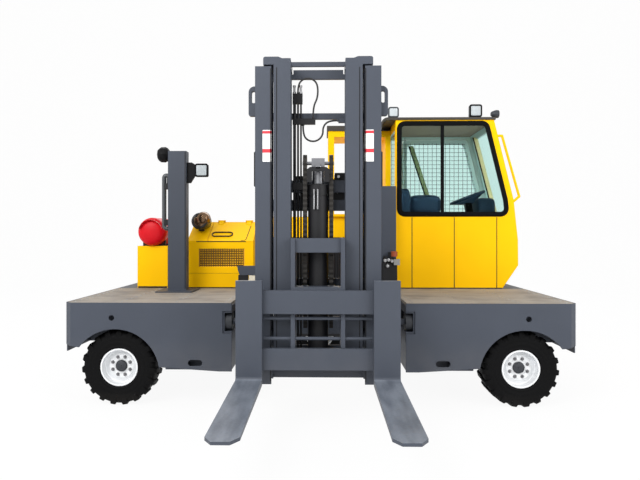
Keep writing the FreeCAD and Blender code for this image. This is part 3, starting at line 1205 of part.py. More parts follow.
def cab_ends():
    """Mast-side wall with its window, and the raked windscreen end."""
    y = (BODY_FRONT + CAB_WALL, CAB_REAR - CAB_WALL)
    window_y = end_window_depth()
    ring = plate_xz(cab_outline(0), y).cut(plate_xz(cab_outline(CAB_WALL), (y[0] - 1, y[1] + 1)))
    left = box((CAB_LEFT, CAB_LEFT + CAB_WALL), y, (DECK_TOP, CAB_EAVE_Z))
    left = left.cut(box((CAB_LEFT - 1, CAB_LEFT + CAB_WALL + 1), window_y, (SILL_Z, END_TOP)))
    far = (CAB_MIDDLE_X, CAB_BELT_X + CAB_WALL)
    right = ring.common(box(far, y, (DECK_TOP + CAB_WALL, CAB_EAVE_Z)))
    return [left, right.cut(box(far, window_y, (SILL_Z, END_TOP)))]


def cab_roof():
    """Thin roof, rolled down at the mast side, with a wing over the frame behind the mast."""
    z = (CAB_EAVE_Z, CAB_ROOF_TOP)
    y = (BODY_FRONT - ROOF_OVER, CAB_REAR + ROOF_OVER)
    right = CAB_EAVE_X + ROOF_OVER
    split = ANNEX_FRONT - ROOF_OVER
    low = CAB_EAVE_Z - ROOF_DROP
    inner = ROOF_LEFT + ROOF_LIP
    rolled = plate_xz([(ROOF_LEFT, low), (ROOF_LEFT, z[1], 70), (right, z[1], 12), (right, z[0]),
                       (inner, z[0], 58), (inner, low)], (y[0], split))
    flat = box((ROOF_LEFT, right), (split, y[1]), z)
    wing = box((ANNEX_LEFT - ROOF_OVER, ROOF_LEFT + 40), (split, y[1]), (ANNEX_TOP, z[1] - 5))
    return fused([rolled, flat, wing])


def cab_floor():
    y = (BODY_FRONT + CAB_WALL, CAB_REAR - CAB_WALL)
    return box((CAB_LEFT + CAB_WALL, CAB_FOOT_X - CAB_WALL), y, (DECK_TOP, DECK_TOP + CAB_WALL))


def door_window(y, shrink):
    """Window in the door's leaf, and the pane that fills it."""
    edge = DOOR_GAP + DOOR_FRAME + shrink
    return raked(DOOR_LEFT + edge, DOOR_SILL_Z + shrink, DOOR_TOP - edge, DOOR_IN + edge, y, 50)


def cab_door():
    """Rear door: framed leaf with its window, a slanted stiffener and two hinge straps."""
    y = (CAB_REAR - CAB_WALL, CAB_REAR)
    gap = DOOR_GAP
    leaf = raked(DOOR_LEFT + gap, DOOR_LOW + gap, DOOR_TOP - gap, DOOR_IN + gap, y, 46)
    leaf = leaf.cut(door_window((y[0] - 1, y[1] + 1), 0))
    top = DOOR_TOP - gap - DOOR_FRAME / 2
    low = DOOR_SILL_Z - 20
    foot_x = BRACE_TOP_X + BRACE_LEAN * (top - low)
    brace = plate_xz([(BRACE_TOP_X, top), (BRACE_TOP_X + BRACE_W, top), (foot_x + BRACE_W, low),
                      (foot_x, low)], (y[1] - 8, y[1]))
    straps = []
    for z in hinge_levels():
        strap = box((HINGE_X, HINGE_X + 60), (CAB_REAR, HINGE_Y + 8), (z - 24, z + 24))
        barrel = rod((HINGE_X, HINGE_Y, z - 24), (HINGE_X, HINGE_Y, z + 24), 14)
        bore = rod((HINGE_X, HINGE_Y, z - 25), (HINGE_X, HINGE_Y, z + 25), HINGE_PIN_R + ROD_FIT)
        straps.append(barrel.fuse(strap).cut(bore))
    return fused([leaf, brace] + straps)


def window_guard():
    """Guard of crossed wires on the inside of the door's window."""
    back = CAB_REAR - CAB_WALL
    over = 15
    left = DOOR_LEFT + DOOR_GAP + DOOR_FRAME - over
    low = DOOR_SILL_Z - over
    top = DOOR_TOP - DOOR_GAP - DOOR_FRAME + over
    right = cab_edge(SILL_Z) - DOOR_IN - DOOR_FRAME + over
    uprights = []
    x = left
    while x < right:
        uprights.append(box((x, x + GUARD_WIRE), (back - GUARD_WIRE, back), (low, top)))
        x += GUARD_PITCH[0]
    rows = []
    z = low
    while z < top:
        rows.append(box((left, right), (back - 2 * GUARD_WIRE, back - GUARD_WIRE), (z, z + GUARD_WIRE)))
        z += GUARD_PITCH[1]
    field = raked(left, low, top, DOOR_IN + DOOR_GAP + DOOR_FRAME - over,
                  (back - 2 * GUARD_WIRE - 1, back + 1), 0)
    return fused(uprights + rows).common(field)


def cab_glass():
    """Fixed panes, set in the middle of their walls."""
    mid = BODY_FRONT + CAB_WALL / 2
    front = front_window((mid - GLASS_T / 2, mid + GLASS_T / 2), -SEAT_GAP)
    back = CAB_REAR - CAB_WALL / 2
    fit = LIGHT_IN + SEAT_GAP
    side_light = rounded_xz((CAB_LEFT + fit, DOOR_LEFT - fit), (SILL_Z + SEAT_GAP, DOOR_TOP - SEAT_GAP),
                            (back - GLASS_T / 2, back + GLASS_T / 2), LIGHT_R)
    depth = end_window_depth()
    y = (depth[0] + SEAT_GAP, depth[1] - SEAT_GAP)
    z = (SILL_Z + SEAT_GAP, END_TOP - SEAT_GAP)
    pane_x = CAB_LEFT + CAB_WALL / 2
    pane = box((pane_x - GLASS_T / 2, pane_x + GLASS_T / 2), y, z)
    outer = plate_xz(cab_outline(CAB_WALL / 2), y)
    core = plate_xz(cab_outline(CAB_WALL / 2 + GLASS_T), (y[0] - 1, y[1] + 1))
    screen = outer.cut(core).common(box((CAB_MIDDLE_X, CAB_BELT_X), y, z))
    return [front, side_light, pane, screen]


def door_glass():
    y = CAB_REAR - CAB_WALL / 2
    return door_window((y - GLASS_T / 2, y + GLASS_T / 2), SEAT_GAP)


def grab_handle():
    """Bent bar that stands out from the raked end beside the front corner."""
    y = BODY_FRONT + CAB_WALL / 2
    reach, top = HANDLE_TOP
    foot_reach, foot = HANDLE_FOOT
    low = foot - HANDLE_SLANT
    path = [(cab_edge(top) - 10, top), (cab_edge(top) + reach, top),
            (cab_edge(foot) + foot_reach, foot), (cab_edge(low) - 10, low)]
    pieces = []
    for (xa, za), (xb, zb) in zip(path, path[1:]):
        pieces.append(rod((xa, y, za), (xb, y, zb), HANDLE_R))
    for x, z in path[1:3]:
        pieces.append(Part.makeSphere(HANDLE_R, vec(x, y, z)))
    wall = plate_xz(cab_outline(-SEAT_GAP), (BODY_FRONT - 1, BODY_FRONT + 2 * CAB_WALL))
    return fused(pieces).cut(wall)


def seat():
    """Operator's seat, facing the windscreen end."""
    y = (CAB_MIDDLE_Y - SEAT_HALF, CAB_MIDDLE_Y + SEAT_HALF)
    pan_low = SEAT_TOP - SEAT_PAD
    base = box((SEAT_X[0] + 20, SEAT_X[1] - 50), (y[0] + 50, y[1] - 50), (DECK_TOP + CAB_WALL, pan_low))
    pan = box(SEAT_X, y, (pan_low, SEAT_TOP))
    back = plate_xz([(SEAT_X[0], SEAT_TOP), (SEAT_X[0] + 120, SEAT_TOP),
                     (SEAT_X[0] + 70, SEAT_BACK_TOP), (SEAT_X[0] - 30, SEAT_BACK_TOP)],
                    (y[0] + 20, y[1] - 20))
    return fused([base, pan, back])


def steering_console():
    """Dash block and steering column with its wheel."""
    y = CAB_MIDDLE_Y
    x = STEERING_X
    z = STEERING_Z
    column = rod((DASH_X[0] - 40, y, DECK_TOP + CAB_WALL + 8), (x + 20, y, z - 20), 35)
    wheel = Part.makeTorus(STEERING_R - 14, 14, vec(x, y, z), vec(-0.45, 0, 0.9))
    hub = rod((x + 20, y, z - 25), (x - 2, y, z + 8), 45)
    spoke = rod((x, y - STEERING_R + 15, z), (x, y + STEERING_R - 15, z), 10)
    dash = box(DASH_X, (y - 325, y + 325), (DECK_TOP + CAB_WALL, DASH_TOP))
    link = box((DASH_X[0] - 100, DASH_X[0] + 5), (y - 30, y + 30), (DASH_TOP - 250, DASH_TOP - 170))
    return fused([column, wheel, hub, dash, link, spoke])


def cab_annex():
    """Open frame behind the mast that carries the roof's inboard end."""
    y = (ANNEX_FRONT, CAB_REAR)
    x = (ANNEX_LEFT, CAB_LEFT)
    z = (COVER_TOP + 30, ANNEX_TOP - ANNEX_POST)
    block = box(x, y, (COVER_TOP, ANNEX_TOP))
    through = [
        box((x[0] + ANNEX_POST, x[1] - 60), (y[0] - 1, y[1] + 1), z),
        box((x[0] - 1, x[1] - 60), (y[0] + ANNEX_POST + 20, y[1] - ANNEX_POST - 20), z),
    ]
    return cut(block, through)


upper_hose, upper_bend = routed(UPPER_HOSE, HOSE_Y, HOSE_R)
lower_hose, lower_bend = routed(LOWER_HOSE, HOSE_Y, HOSE_R)
print("tightest bends of the hoses", round(upper_bend, 1), round(lower_bend, 1))

NODES = {
    "frame_left": mirrored(arm_frame()),
    "frame_right": arm_frame(),
    "frame_rear": rear_frame(),
    "deck_boards": deck_boards(),
    "reach_rails": both_sides(reach_rail()),
    "reach_barrels": both_sides(reach_barrel()),
    "hood_body": hood_body(),
    "hood_lid": hood_lid(),
    "hood_grille": hood_grille(),
    "engine_block": engine_block(),
    "battery_box": box(BATTERY_X, (BODY_FRONT, BODY_REAR), (DECK_TOP, BATTERY_TOP)),
    "gas_tank": gas_tank(),
    "tank_saddle": tank_saddle(),
    "post": post(),
    "work_lamps": work_lamps(),
    "exhaust_pipe": exhaust_pipe(),
    "air_cleaner": air_cleaner(),
    "rear_cover": rear_cover(),
    "cab_front": cab_front(),
    "cab_rear": cab_rear(),
    "cab_ends": cab_ends(),
    "cab_roof": cab_roof(),
    "cab_floor": cab_floor(),
    "cab_annex": cab_annex(),
    "cab_glass": cab_glass(),
    "cab_door": cab_door(),
    "door_glass": door_glass(),
    "window_guard": window_guard(),
    "grab_handle": grab_handle(),
    "seat": seat(),
    "steering_console": steering_console(),
    "side_panel": side_panel(),
    "valve_block": valve_block(),
    "mast_carriage": mast_carriage(),
    "reach_rollers": reach_rollers(),
    "reach_rods": reach_rods(),
    "outer_mast": outer_mast(),
    "lift_barrels": lift_barrels(),
    "inner_mast": inner_mast(),
    "lift_rods": lift_rods(),
    "mast_pipes": mast_pipes(),
    "hose_upper": upper_hose,
    "hose_lower": lower_hose,
    "free_lift_barrel": free_lift_barrel(),
    "free_lift_head": free_lift_head(),
    "lift_chains": lift_chains(),
    "fork_carriage": fork_carriage(),
    "fork_left": fork(-1),
    "fork_right": fork(1),
    "tilt_barrels": tilt_barrels(),
    "tilt_rods": tilt_rods(),
}
WHEELS = {
    "left": (-WHEEL_X, WHEEL_Y),
    "right": (WHEEL_X, WHEEL_Y),
    "rear": (0.0, REAR_WHEEL_Y),
}
for place, (wheel_x, wheel_y) in WHEELS.items():
    NODES["rim_" + place] = rim(wheel_x, wheel_y)
    NODES["tyre_" + place] = tyre(wheel_x, wheel_y)
    NODES["knuckle_" + place] = knuckle(wheel_x, wheel_y)


def save(node, shape):
    solids = shape if isinstance(shape, list) else [shape]
    body = solids[0] if len(solids) == 1 else Part.makeCompound(solids)
    body.exportStep("parts/" + node + ".step")
    print(node, "solids", len(body.Solids), "valid", body.isValid(), "volume", round(body.Volume))


os.makedirs("parts", exist_ok=True)
for node, shape in NODES.items():
    save(node, shape)
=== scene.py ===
import bmesh
import bpy
import math
import numpy as np
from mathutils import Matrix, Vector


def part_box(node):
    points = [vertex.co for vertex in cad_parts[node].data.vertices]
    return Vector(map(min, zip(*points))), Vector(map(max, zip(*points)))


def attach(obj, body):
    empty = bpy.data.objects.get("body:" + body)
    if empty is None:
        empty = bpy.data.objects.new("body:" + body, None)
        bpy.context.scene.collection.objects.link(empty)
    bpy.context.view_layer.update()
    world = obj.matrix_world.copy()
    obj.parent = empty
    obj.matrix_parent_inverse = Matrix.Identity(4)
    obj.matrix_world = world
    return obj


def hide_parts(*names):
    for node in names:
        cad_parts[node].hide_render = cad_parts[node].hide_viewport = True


# A four-way forklift: a reaching mast between two load platforms, a cab on the right and
# an engine housing on the left. Metres, +X to the cab, +Y to the rear, +Z up.
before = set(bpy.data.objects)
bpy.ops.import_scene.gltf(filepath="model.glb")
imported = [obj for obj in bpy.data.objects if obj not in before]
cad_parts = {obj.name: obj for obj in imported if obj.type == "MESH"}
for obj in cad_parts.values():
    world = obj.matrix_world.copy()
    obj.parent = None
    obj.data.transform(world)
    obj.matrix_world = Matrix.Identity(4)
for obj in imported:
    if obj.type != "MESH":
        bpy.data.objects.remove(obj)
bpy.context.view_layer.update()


# ---- The ground and the daylight -------------------------------------------------------
# A pale sweep of floor that turns up into the backdrop, under a wide overcast sky. Three large
# soft lamps stand round the machine: a key and a fill in front, and a weaker one at the back.
def swept_strip(name, profile, x_low, x_high, columns=2):
    """Surface of a (y, z) profile carried straight along X: point(i, j) = (x_i, y_j, z_j)."""
    profile = np.asarray(profile, float)
    x = np.linspace(x_low, x_high, columns)
    grid = np.empty((columns, len(profile), 3))
    grid[..., 0] = x[:, None]
    grid[..., 1] = profile[None, :, 0]
    grid[..., 2] = profile[None, :, 1]
    return grid_mesh(name, grid)


def grid_mesh(name, grid, closed_u=False, closed_v=False):
    """Quads between neighbouring points of a (..., rows, columns, 3) array, joined at its closed
    edges. Copies of one grid are stacked before the rows."""
    number = np.arange(grid.size // 3).reshape(-1, *grid.shape[-3:-1])
    if closed_u:
        number = np.concatenate([number, number[:, :1]], 1)
    if closed_v:
        number = np.concatenate([number, number[:, :, :1]], 2)
    quads = np.stack([number[:, :-1, :-1], number[:, 1:, :-1], number[:, 1:, 1:],
                      number[:, :-1, 1:]], -1)
    return solid(name, grid.reshape(-1, 3), quads.reshape(-1, 4).tolist())


def solid(name, points, faces, crease=38):
    """Mesh of points and faces: doubles merged, faces turned outwards, smooth under the crease."""
    mesh = bpy.data.meshes.new(name)
    mesh.from_pydata(np.asarray(points).tolist(), [], faces)
    work = bmesh.new()
    work.from_mesh(mesh)
    bmesh.ops.remove_doubles(work, verts=work.verts, dist=1e-6)
    bmesh.ops.recalc_face_normals(work, faces=work.faces)
    work.to_mesh(mesh)
    work.free()
    mesh.shade_smooth()
    mesh.set_sharp_from_angle(angle=math.radians(crease))
    piece = bpy.data.objects.new(name, mesh)
    bpy.context.scene.collection.objects.link(piece)
    return piece


def feed(tree, target, feeds):
    """Each of a node's sockets, by name or number, takes a value or the output linked to it."""
    for socket, value in feeds.items():
        if isinstance(value, bpy.types.NodeSocket):
            tree.links.new(value, target.inputs[socket])
        else:
            target.inputs[socket].default_value = value


def node(tree, kind, feeds, **settings):
    """New shader node of a kind, with its settings and what feeds its sockets."""
    made = tree.nodes.new("ShaderNode" + kind)
    for label, value in settings.items():
        setattr(made, label, value)
    feed(tree, made, feeds)
    return made


def behind(tree, lit, glow, output, share=1.0):
    """Camera, glossy and transmission rays see this share of the glow, other rays what is lit."""
    ray = node(tree, "LightPath", {})
    seen = ray.outputs["Is Camera Ray"]
    for label in ("Is Glossy Ray", "Is Transmission Ray"):
        seen = node(tree, "Math", {0: seen, 1: ray.outputs[label]}, operation="MAXIMUM").outputs[0]
    part = node(tree, "Math", {0: seen, 1: share}, operation="MULTIPLY")
    blend = node(tree, "MixShader", {0: part.outputs[0], 1: lit.outputs[0], 2: glow.outputs[0]})
    node(tree, output, {"Surface": blend.outputs[0]})


quarter = np.linspace(-np.pi / 2, 0, 24)
sweep = [(-14, 0)] + [(9 + 4 * np.cos(a), 4 + 4 * np.sin(a)) for a in quarter] + [(13, 16)]
floor = swept_strip("floor", sweep, -22, 22)
ground = bpy.data.materials.new("pale_ground")
ground.use_nodes = True
tree = ground.node_tree
tree.nodes.clear()
paint = node(tree, "BsdfDiffuse", {"Color": (0.86, 0.86, 0.86, 1)})
glow = node(tree, "Emission", {"Strength": 1.0})
behind(tree, paint, glow, "OutputMaterial", 0.93)
floor.data.materials.append(ground)

world = bpy.data.worlds.new("overcast")
bpy.context.scene.world = world
world.use_nodes = True
tree = world.node_tree
tree.nodes.clear()
sky, glow = [node(tree, "Background", {"Color": (1, 1, 1, 1), "Strength": strength})
             for strength in (0.80, 1.0)]
behind(tree, sky, glow, "OutputWorld")

for label, place, aim, energy, width in (
        ("key", (-4.5, -7.0, 6.5), (0, 0, 1), 640, 5.0),
        ("fill", (6.0, -6.0, 4.0), (0, 0, 1), 330, 5.0),
        ("rear", (0.0, 9.0, 7.0), (0, 0.5, 1), 260, 6.0)):
    lamp = bpy.data.lights.new(label, "AREA")
    lamp.energy = energy
    lamp.size = width
    holder = bpy.data.objects.new(label, lamp)
    bpy.context.scene.collection.objects.link(holder)
    holder.location = place
    dx, dy, dz = np.subtract(aim, place)
    holder.rotation_euler = (math.atan2(math.hypot(dx, dy), -dz), 0, math.atan2(-dx, dy))

camera = bpy.data.cameras.new("camera")
camera.sensor_width = 36.0
camera.lens = 33.75
camera.shift_x = 0.0166
camera.shift_y = -0.0109
viewer = bpy.data.objects.new("camera", camera)
bpy.context.scene.collection.objects.link(viewer)
viewer.location = (0.037, -5.20, 1.454)
viewer.rotation_euler = (math.radians(90), 0, math.radians(1.3))
bpy.context.scene.camera = viewer
bpy.context.scene.view_settings.view_transform = "Standard"


# ---- Frame and platforms ---------------------------------------------------------------
# Welded steel plate in satin blue-grey paint, a little dusty near the ground. Worn boards
# lie across the platforms, each held down by a row of coach bolts.
def linear(red, green, blue):
    """Linear colour of display values from 0 to 255, by the usual display curve."""
    value = np.array([red, green, blue]) / 255
    value = np.where(value <= 0.04045, value / 12.92, ((value + 0.055) / 1.055) ** 2.4)
    return (*value, 1.0)


def speckle(tree, scale, detail=4.0, seed=0.0, stretch=(1, 1, 1)):
    """Noise on Object coordinates: the pattern stays with the piece."""
    spot = node(tree, "TexCoord", {})
    turn = node(tree, "Mapping", {"Vector": spot.outputs["Object"], "Scale": stretch,
                                  "Location": (seed, seed * 0.7, seed * 1.3)})
    noise = node(tree, "TexNoise", {"Vector": turn.outputs["Vector"], "Scale": scale, "Detail": detail})
    return noise.outputs["Fac"]


def stops(tree, factor, *marks):
    """Colour ramp with (place, colour) marks."""
    ramp = node(tree, "ValToRGB", {"Fac": factor})
    band = ramp.color_ramp
    while len(band.elements) < len(marks):
        band.elements.new(0.5)
    for element, (place, colour) in zip(band.elements, marks):
        element.position = place
        element.color = colour
    return ramp.outputs["Color"]


def span(tree, value, low, high, to_low, to_high):
    """Straight line from (low, to_low) to (high, to_high), held at its ends."""
    return node(tree, "MapRange", {"Value": value, "From Min": low, "From Max": high,
                                   "To Min": to_low, "To Max": to_high}).outputs["Result"]


def mixed(tree, factor, first, second):
    """Colour that goes from first to second with the factor."""
    return node(tree, "Mix", {"Factor": factor, 6: first, 7: second}, data_type="RGBA").outputs[2]


def finish_of(name, colour, rough, drift=0.05, grain=90.0, relief=0.15, metal=0.0, gloss=0.0,
              seed=0.0, stretch=(1, 1, 1), depth=0.001, shine=0.5, edge=0.0):
    """Surface whose colour drifts softly, with a fine grain in its gloss and its relief. With edge,
    its corners look rounded to that radius."""
    made = bpy.data.materials.new(name)
    made.use_nodes = True
    tree = made.node_tree
    shader = tree.nodes["Principled BSDF"]
    low = tuple(np.array(colour[:3]) * (1 - drift)) + (1.0,)
    high = tuple(np.minimum(np.array(colour[:3]) * (1 + drift), 1)) + (1.0,)
    broad = speckle(tree, 2.3, 5.0, seed, stretch)
    fine = speckle(tree, grain, 3.0, seed + 5, stretch)
    bump = node(tree, "Bump", {"Strength": relief, "Distance": depth, "Height": fine})
    if edge:
        feed(tree, bump, {"Normal": node(tree, "Bevel", {"Radius": edge}).outputs["Normal"]})
    feed(tree, shader, {
        "Base Color": stops(tree, broad, (0.3, low), (0.7, high)), "Normal": bump.outputs["Normal"],
        "Roughness": span(tree, fine, 0.2, 0.8, rough - 0.06, rough + 0.08), "Metallic": metal,
        "Specular IOR Level": shine, "Coat Weight": gloss, "Coat Roughness": 0.08})
    return made


def coat_of(material):
    """A finish's node tree, its colour socket and what feeds that socket now."""
    socket = material.node_tree.nodes["Principled BSDF"].inputs["Base Color"]
    return material.node_tree, socket, socket.links[0].from_socket


def upward(tree, source="Object"):
    """Height of the point, or with Normal how far its face looks up."""
    spot = node(tree, "TexCoord", {})
    return node(tree, "SeparateXYZ", {0: spot.outputs[source]}).outputs["Z"]


def weather(material, dust, low, high, amount, seed=0.0):
    """Road dust that thickens downwards from height high to height low, broken by noise."""
    tree, colour, under = coat_of(material)
    fall = span(tree, upward(tree), low, high, amount, 0.0)
    patch = span(tree, speckle(tree, 6.0, 6.0, seed + 2), 0.35, 0.7, 0.2, 1.0)
    both = node(tree, "Math", {0: fall, 1: patch}, operation="MULTIPLY")
    tree.links.new(mixed(tree, both.outputs[0], under, dust), colour)
    return material


def dress(material, *names):
    """The CAD nodes take this material."""
    for name in names:
        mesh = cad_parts[name].data
        mesh.materials.clear()
        mesh.materials.append(material)


def fit(piece, material, body, slot, *nodes):
    """Give a new piece its material, the body that carries it and the nodes it stands for."""
    piece.data.materials.append(material)
    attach(piece, body)
    if nodes:
        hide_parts(*nodes)
    return piece


def turned(name, profile, centre, axis=1, steps=64, copies=((0, 0, 0),)):
    """Surface of revolution: a profile of (along, radius) pairs goes round an axis through the
    centre, once for each offset in copies."""
    along, radius = np.asarray(profile, float).T
    angle = np.linspace(0, 2 * np.pi, steps, endpoint=False)
    first, second = (axis + 1) % 3, (axis + 2) % 3
    grid = np.empty((steps, len(along), 3))
    grid[..., axis] = along
    grid[..., first] = np.cos(angle)[:, None] * radius
    grid[..., second] = np.sin(angle)[:, None] * radius
    grid = grid + np.asarray(copies, float)[:, None, None, :] + np.asarray(centre, float)
    return grid_mesh(name, grid, closed_u=True)


dust_colour = linear(150, 142, 130)
frame_grey = weather(finish_of("frame_grey", linear(64, 69, 79), 0.5, 0.05, 60, 0.10, seed=1,
                               shine=0.25, edge=0.008), dust_colour, 0.25, 0.6, 0.12)
dress(frame_grey, "frame_left", "frame_right", "frame_rear", "post", "side_panel", "reach_rails")
black_iron = finish_of("black_iron", linear(20, 20, 23), 0.5, 0.15, 70, 0.2, seed=3, shine=0.3)
dress(black_iron, "reach_barrels", "tank_saddle", "lift_barrels", "tilt_barrels", "cab_floor",
      "knuckle_left", "knuckle_right", "knuckle_rear", "engine_block", "valve_block", "window_guard",
      "mast_pipes")

board_width, board_start = 0.130, -0.229
deck_wood = finish_of("deck_wood", linear(152, 144, 134), 0.74, 0.16, 30, 0.4, seed=2,
                      stretch=(0.22, 5, 1), depth=0.002)
tree, colour, under = coat_of(deck_wood)
scuff = span(tree, speckle(tree, 3.2, 8.0, 31, (1, 1, 1)), 0.48, 0.66, 0.0, 0.55)
worn = mixed(tree, scuff, under, linear(104, 100, 96))
knots = span(tree, speckle(tree, 14.0, 2.0, 32, (0.35, 2.2, 1)), 0.64, 0.7, 0.0, 0.5)
tree.links.new(mixed(tree, knots, worn, linear(96, 82, 66)), colour)
dress(deck_wood, "deck_boards")

board_rows = board_start + board_width * (np.arange(10) + 0.5)
bolt_x = np.array([0.78, 1.20, 1.66, 2.06])
bolt_x = np.concatenate([-bolt_x, bolt_x])
deck_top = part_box("deck_boards")[1][2]
spots = [(x, y, 0) for x in bolt_x for y in board_rows]
galvanised = finish_of("galvanised", linear(150, 150, 148), 0.42, 0.12, 90, 0.2, metal=1.0, seed=33)
coach_bolts = turned("coach_bolts", [(0, 0.013), (0.0018, 0.0125), (0.004, 0.008), (0.0048, 0)],
                     (0, 0, deck_top), axis=2, steps=14, copies=spots)
fit(coach_bolts, galvanised, "chassis", "bright_steel")


# ---- Wheels ----------------------------------------------------------------------------
# Industrial tyre of black rubber, moulded with slanted lugs that wrap over each shoulder,
# on a pressed steel rim in white enamel that eight nuts hold to the hub.
def lug_rows(radius, width, count, lug=0.045, skew=0.018):
    """Lugs of a tyre about the Y axis. Each is a section carried from the shoulder over the
    crown to the middle: tangential offset and radius at a station become a point at
    (radius, angle + offset / radius). Two rows face each other half a pitch apart."""
    half = width / 2
    run = np.array([-half + 0.003, -half + 0.003, -half + 0.006, -half + 0.018, -half + 0.03,
                    -0.02, 0.013, 0.013])
    crest = np.array([0.80, 0.885, 0.945, 0.988, 1.0, 1.0, 1.0, 0.94]) * radius
    root = np.array([0.79, 0.80, 0.84, 0.88, 0.90, 0.91, 0.91, 0.91]) * radius
    side = np.array([-0.56, -0.50, -0.42, 0.42, 0.50, 0.56]) * lug
    rise = np.array([0.0, 0.82, 1.0, 1.0, 0.82, 0.0])
    slant = (run + half) / (half + 0.013) * skew
    tangent = side[None, :] + slant[:, None]
    reach = root[:, None] + (crest - root)[:, None] * rise[None, :]
    rows = []
    for way in (1, -1):
        start = (np.arange(count) + (0 if way > 0 else 0.5)) * 2 * np.pi / count
        angle = start[:, None, None] + way * tangent / reach
        rows.append(np.stack([np.broadcast_to(reach, angle.shape) * np.sin(angle),
                              np.broadcast_to(way * run[:, None], angle.shape),
                              np.broadcast_to(reach, angle.shape) * np.cos(angle)], -1))
    rows = np.concatenate(rows)
    tips = rows[:, [0, -1]].mean(2, keepdims=True) + np.zeros((1, 1, len(side), 1))
    return np.concatenate([tips[:, :1], rows, tips[:, 1:]], 1)


rubber = finish_of("rubber", linear(6, 6, 7), 0.66, 0.18, 70, 0.25, seed=10, depth=0.0015,
                   shine=0.12)
weather(rubber, linear(60, 57, 53), 0.02, 0.12, 0.25, 41)
rim_white = finish_of("rim_white", linear(226, 228, 230), 0.4, 0.03, 60, 0.05, seed=11)
weather(rim_white, linear(150, 140, 126), 0.14, 0.40, 0.16, 42)
nut_steel = finish_of("nut_steel", linear(128, 128, 130), 0.38, 0.1, 90, 0.15, metal=0.8, seed=43)
hub_grey = finish_of("hub_grey", linear(54, 56, 60), 0.5, 0.06, 80, 0.15, seed=44, shine=0.2)
dress(hub_grey, "reach_rollers")
for side in ("left", "right", "rear"):
    low, high = np.array(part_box("tyre_" + side))
    hub = (low + high) / 2
    wheel_r = (high[2] - low[2]) / 2
    half = (high[1] - low[1]) / 2
    bead = (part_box("rim_" + side)[1][2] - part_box("rim_" + side)[0][2]) / 2
    wall = [(half - 0.022, bead + 0.0004), (half - 0.008, bead + 0.006), (half - 0.004, bead + 0.016),
            (half - 0.006, bead + 0.020), (half - 0.002, bead + 0.040), (half, bead + 0.062),
            (half - 0.003, bead + 0.070), (half - 0.001, bead + 0.078), (half - 0.003, bead + 0.100),
            (half - 0.010, bead + 0.122), (half - 0.022, bead + 0.139), (half - 0.040, bead + 0.147)]
    loop = [(-y, r) for y, r in wall] + [(y, r) for y, r in wall[::-1]] + [(-wall[0][0], wall[0][1])]
    carcass = turned("carcass_" + side, loop, hub, steps=96)
    fit(carcass, rubber, "wheel_" + side, "tyre", "tyre_" + side)
    lugs = grid_mesh("lugs_" + side, lug_rows(wheel_r - 0.0006, 2 * half, 19) + hub, closed_v=True)
    fit(lugs, rubber, "wheel_" + side, "tyre")
    lip = half - 0.015
    disc = [(-lip, bead - 0.013), (-lip - 0.002, bead - 0.006), (-lip, bead - 0.0006),
            (-lip + 0.012, bead - 0.0006), (-lip + 0.016, bead - 0.006), (lip - 0.016, bead - 0.006),
            (lip - 0.012, bead - 0.0006), (lip, bead - 0.0006), (lip, bead - 0.012),
            (0.004, bead - 0.012), (-0.018, bead - 0.022), (-0.029, 0.100), (-0.029, 0.047),
            (-0.041, 0.047), (-0.044, 0.052), (-0.046, 0.080), (-0.044, 0.104), (-0.036, 0.112),
            (-0.030, bead - 0.022), (-0.034, bead - 0.014), (-lip, bead - 0.013)]
    rim = turned("wheel_disc_" + side, disc, hub, steps=96)
    fit(rim, rim_white, "wheel_" + side, "rim_paint", "rim_" + side)
    spin = np.radians(22.5 + 45 * np.arange(8))
    circle = np.stack([0.080 * np.cos(spin), 0 * spin, 0.080 * np.sin(spin)], -1)
    nuts = turned("wheel_nuts_" + side, [(-0.044, 0.017), (-0.047, 0.017), (-0.048, 0.0112),
                                         (-0.060, 0.0110), (-0.062, 0.0095), (-0.062, 0.0065),
                                         (-0.070, 0.0062), (-0.070, 0)], hub, steps=6, copies=circle)
    fit(nuts, nut_steel, "wheel_" + side, "bright_steel")
    cap = turned("grease_cap_" + side, [(-0.040, 0.050), (-0.050, 0.049), (-0.054, 0.044),
                                        (-0.068, 0.043), (-0.072, 0.038), (-0.073, 0.012),
                                        (-0.078, 0.011), (-0.078, 0)], hub, steps=48)
    fit(cap, hub_grey, "wheel_" + side, "mast_steel")


# ---- Reach frame and mast --------------------------------------------------------------
# Rolled steel channels in the same grey, with bright lift rods, a greased leaf chain and
# two rubber hoses that hang in loops between their steel fittings.
def prism(name, outline, span, axis=1):
    """Closed outline carried straight along an axis, with flat ends. Its pairs are (x, z) along
    y, (y, z) along x and (x, y) along z."""
    outline = np.asarray(outline, float)
    others = {0: (1, 2), 1: (0, 2), 2: (0, 1)}[axis]
    points = np.empty((2, len(outline), 3))
    points[:, :, others[0]] = outline[:, 0]
    points[:, :, others[1]] = outline[:, 1]
    points[:, :, axis] = np.asarray(span)[:, None]
    ring = np.arange(len(outline))
    after = np.roll(ring, -1)
    sides = np.stack([ring, after, after + len(ring), ring + len(ring)], -1).tolist()
    return solid(name, points.reshape(-1, 3), sides + [ring[::-1].tolist(), (ring + len(ring)).tolist()])


def oblong(left, low, right, top):
    """Outline of a rectangle with square corners."""
    return [(left, low), (right, low), (right, top), (left, top)]


def rounded(left, low, right, top, radius, steps=8):
    """Outline of a rectangle with round corners."""
    return bent([(*corner, radius) for corner in oblong(left, low, right, top)], True, steps)


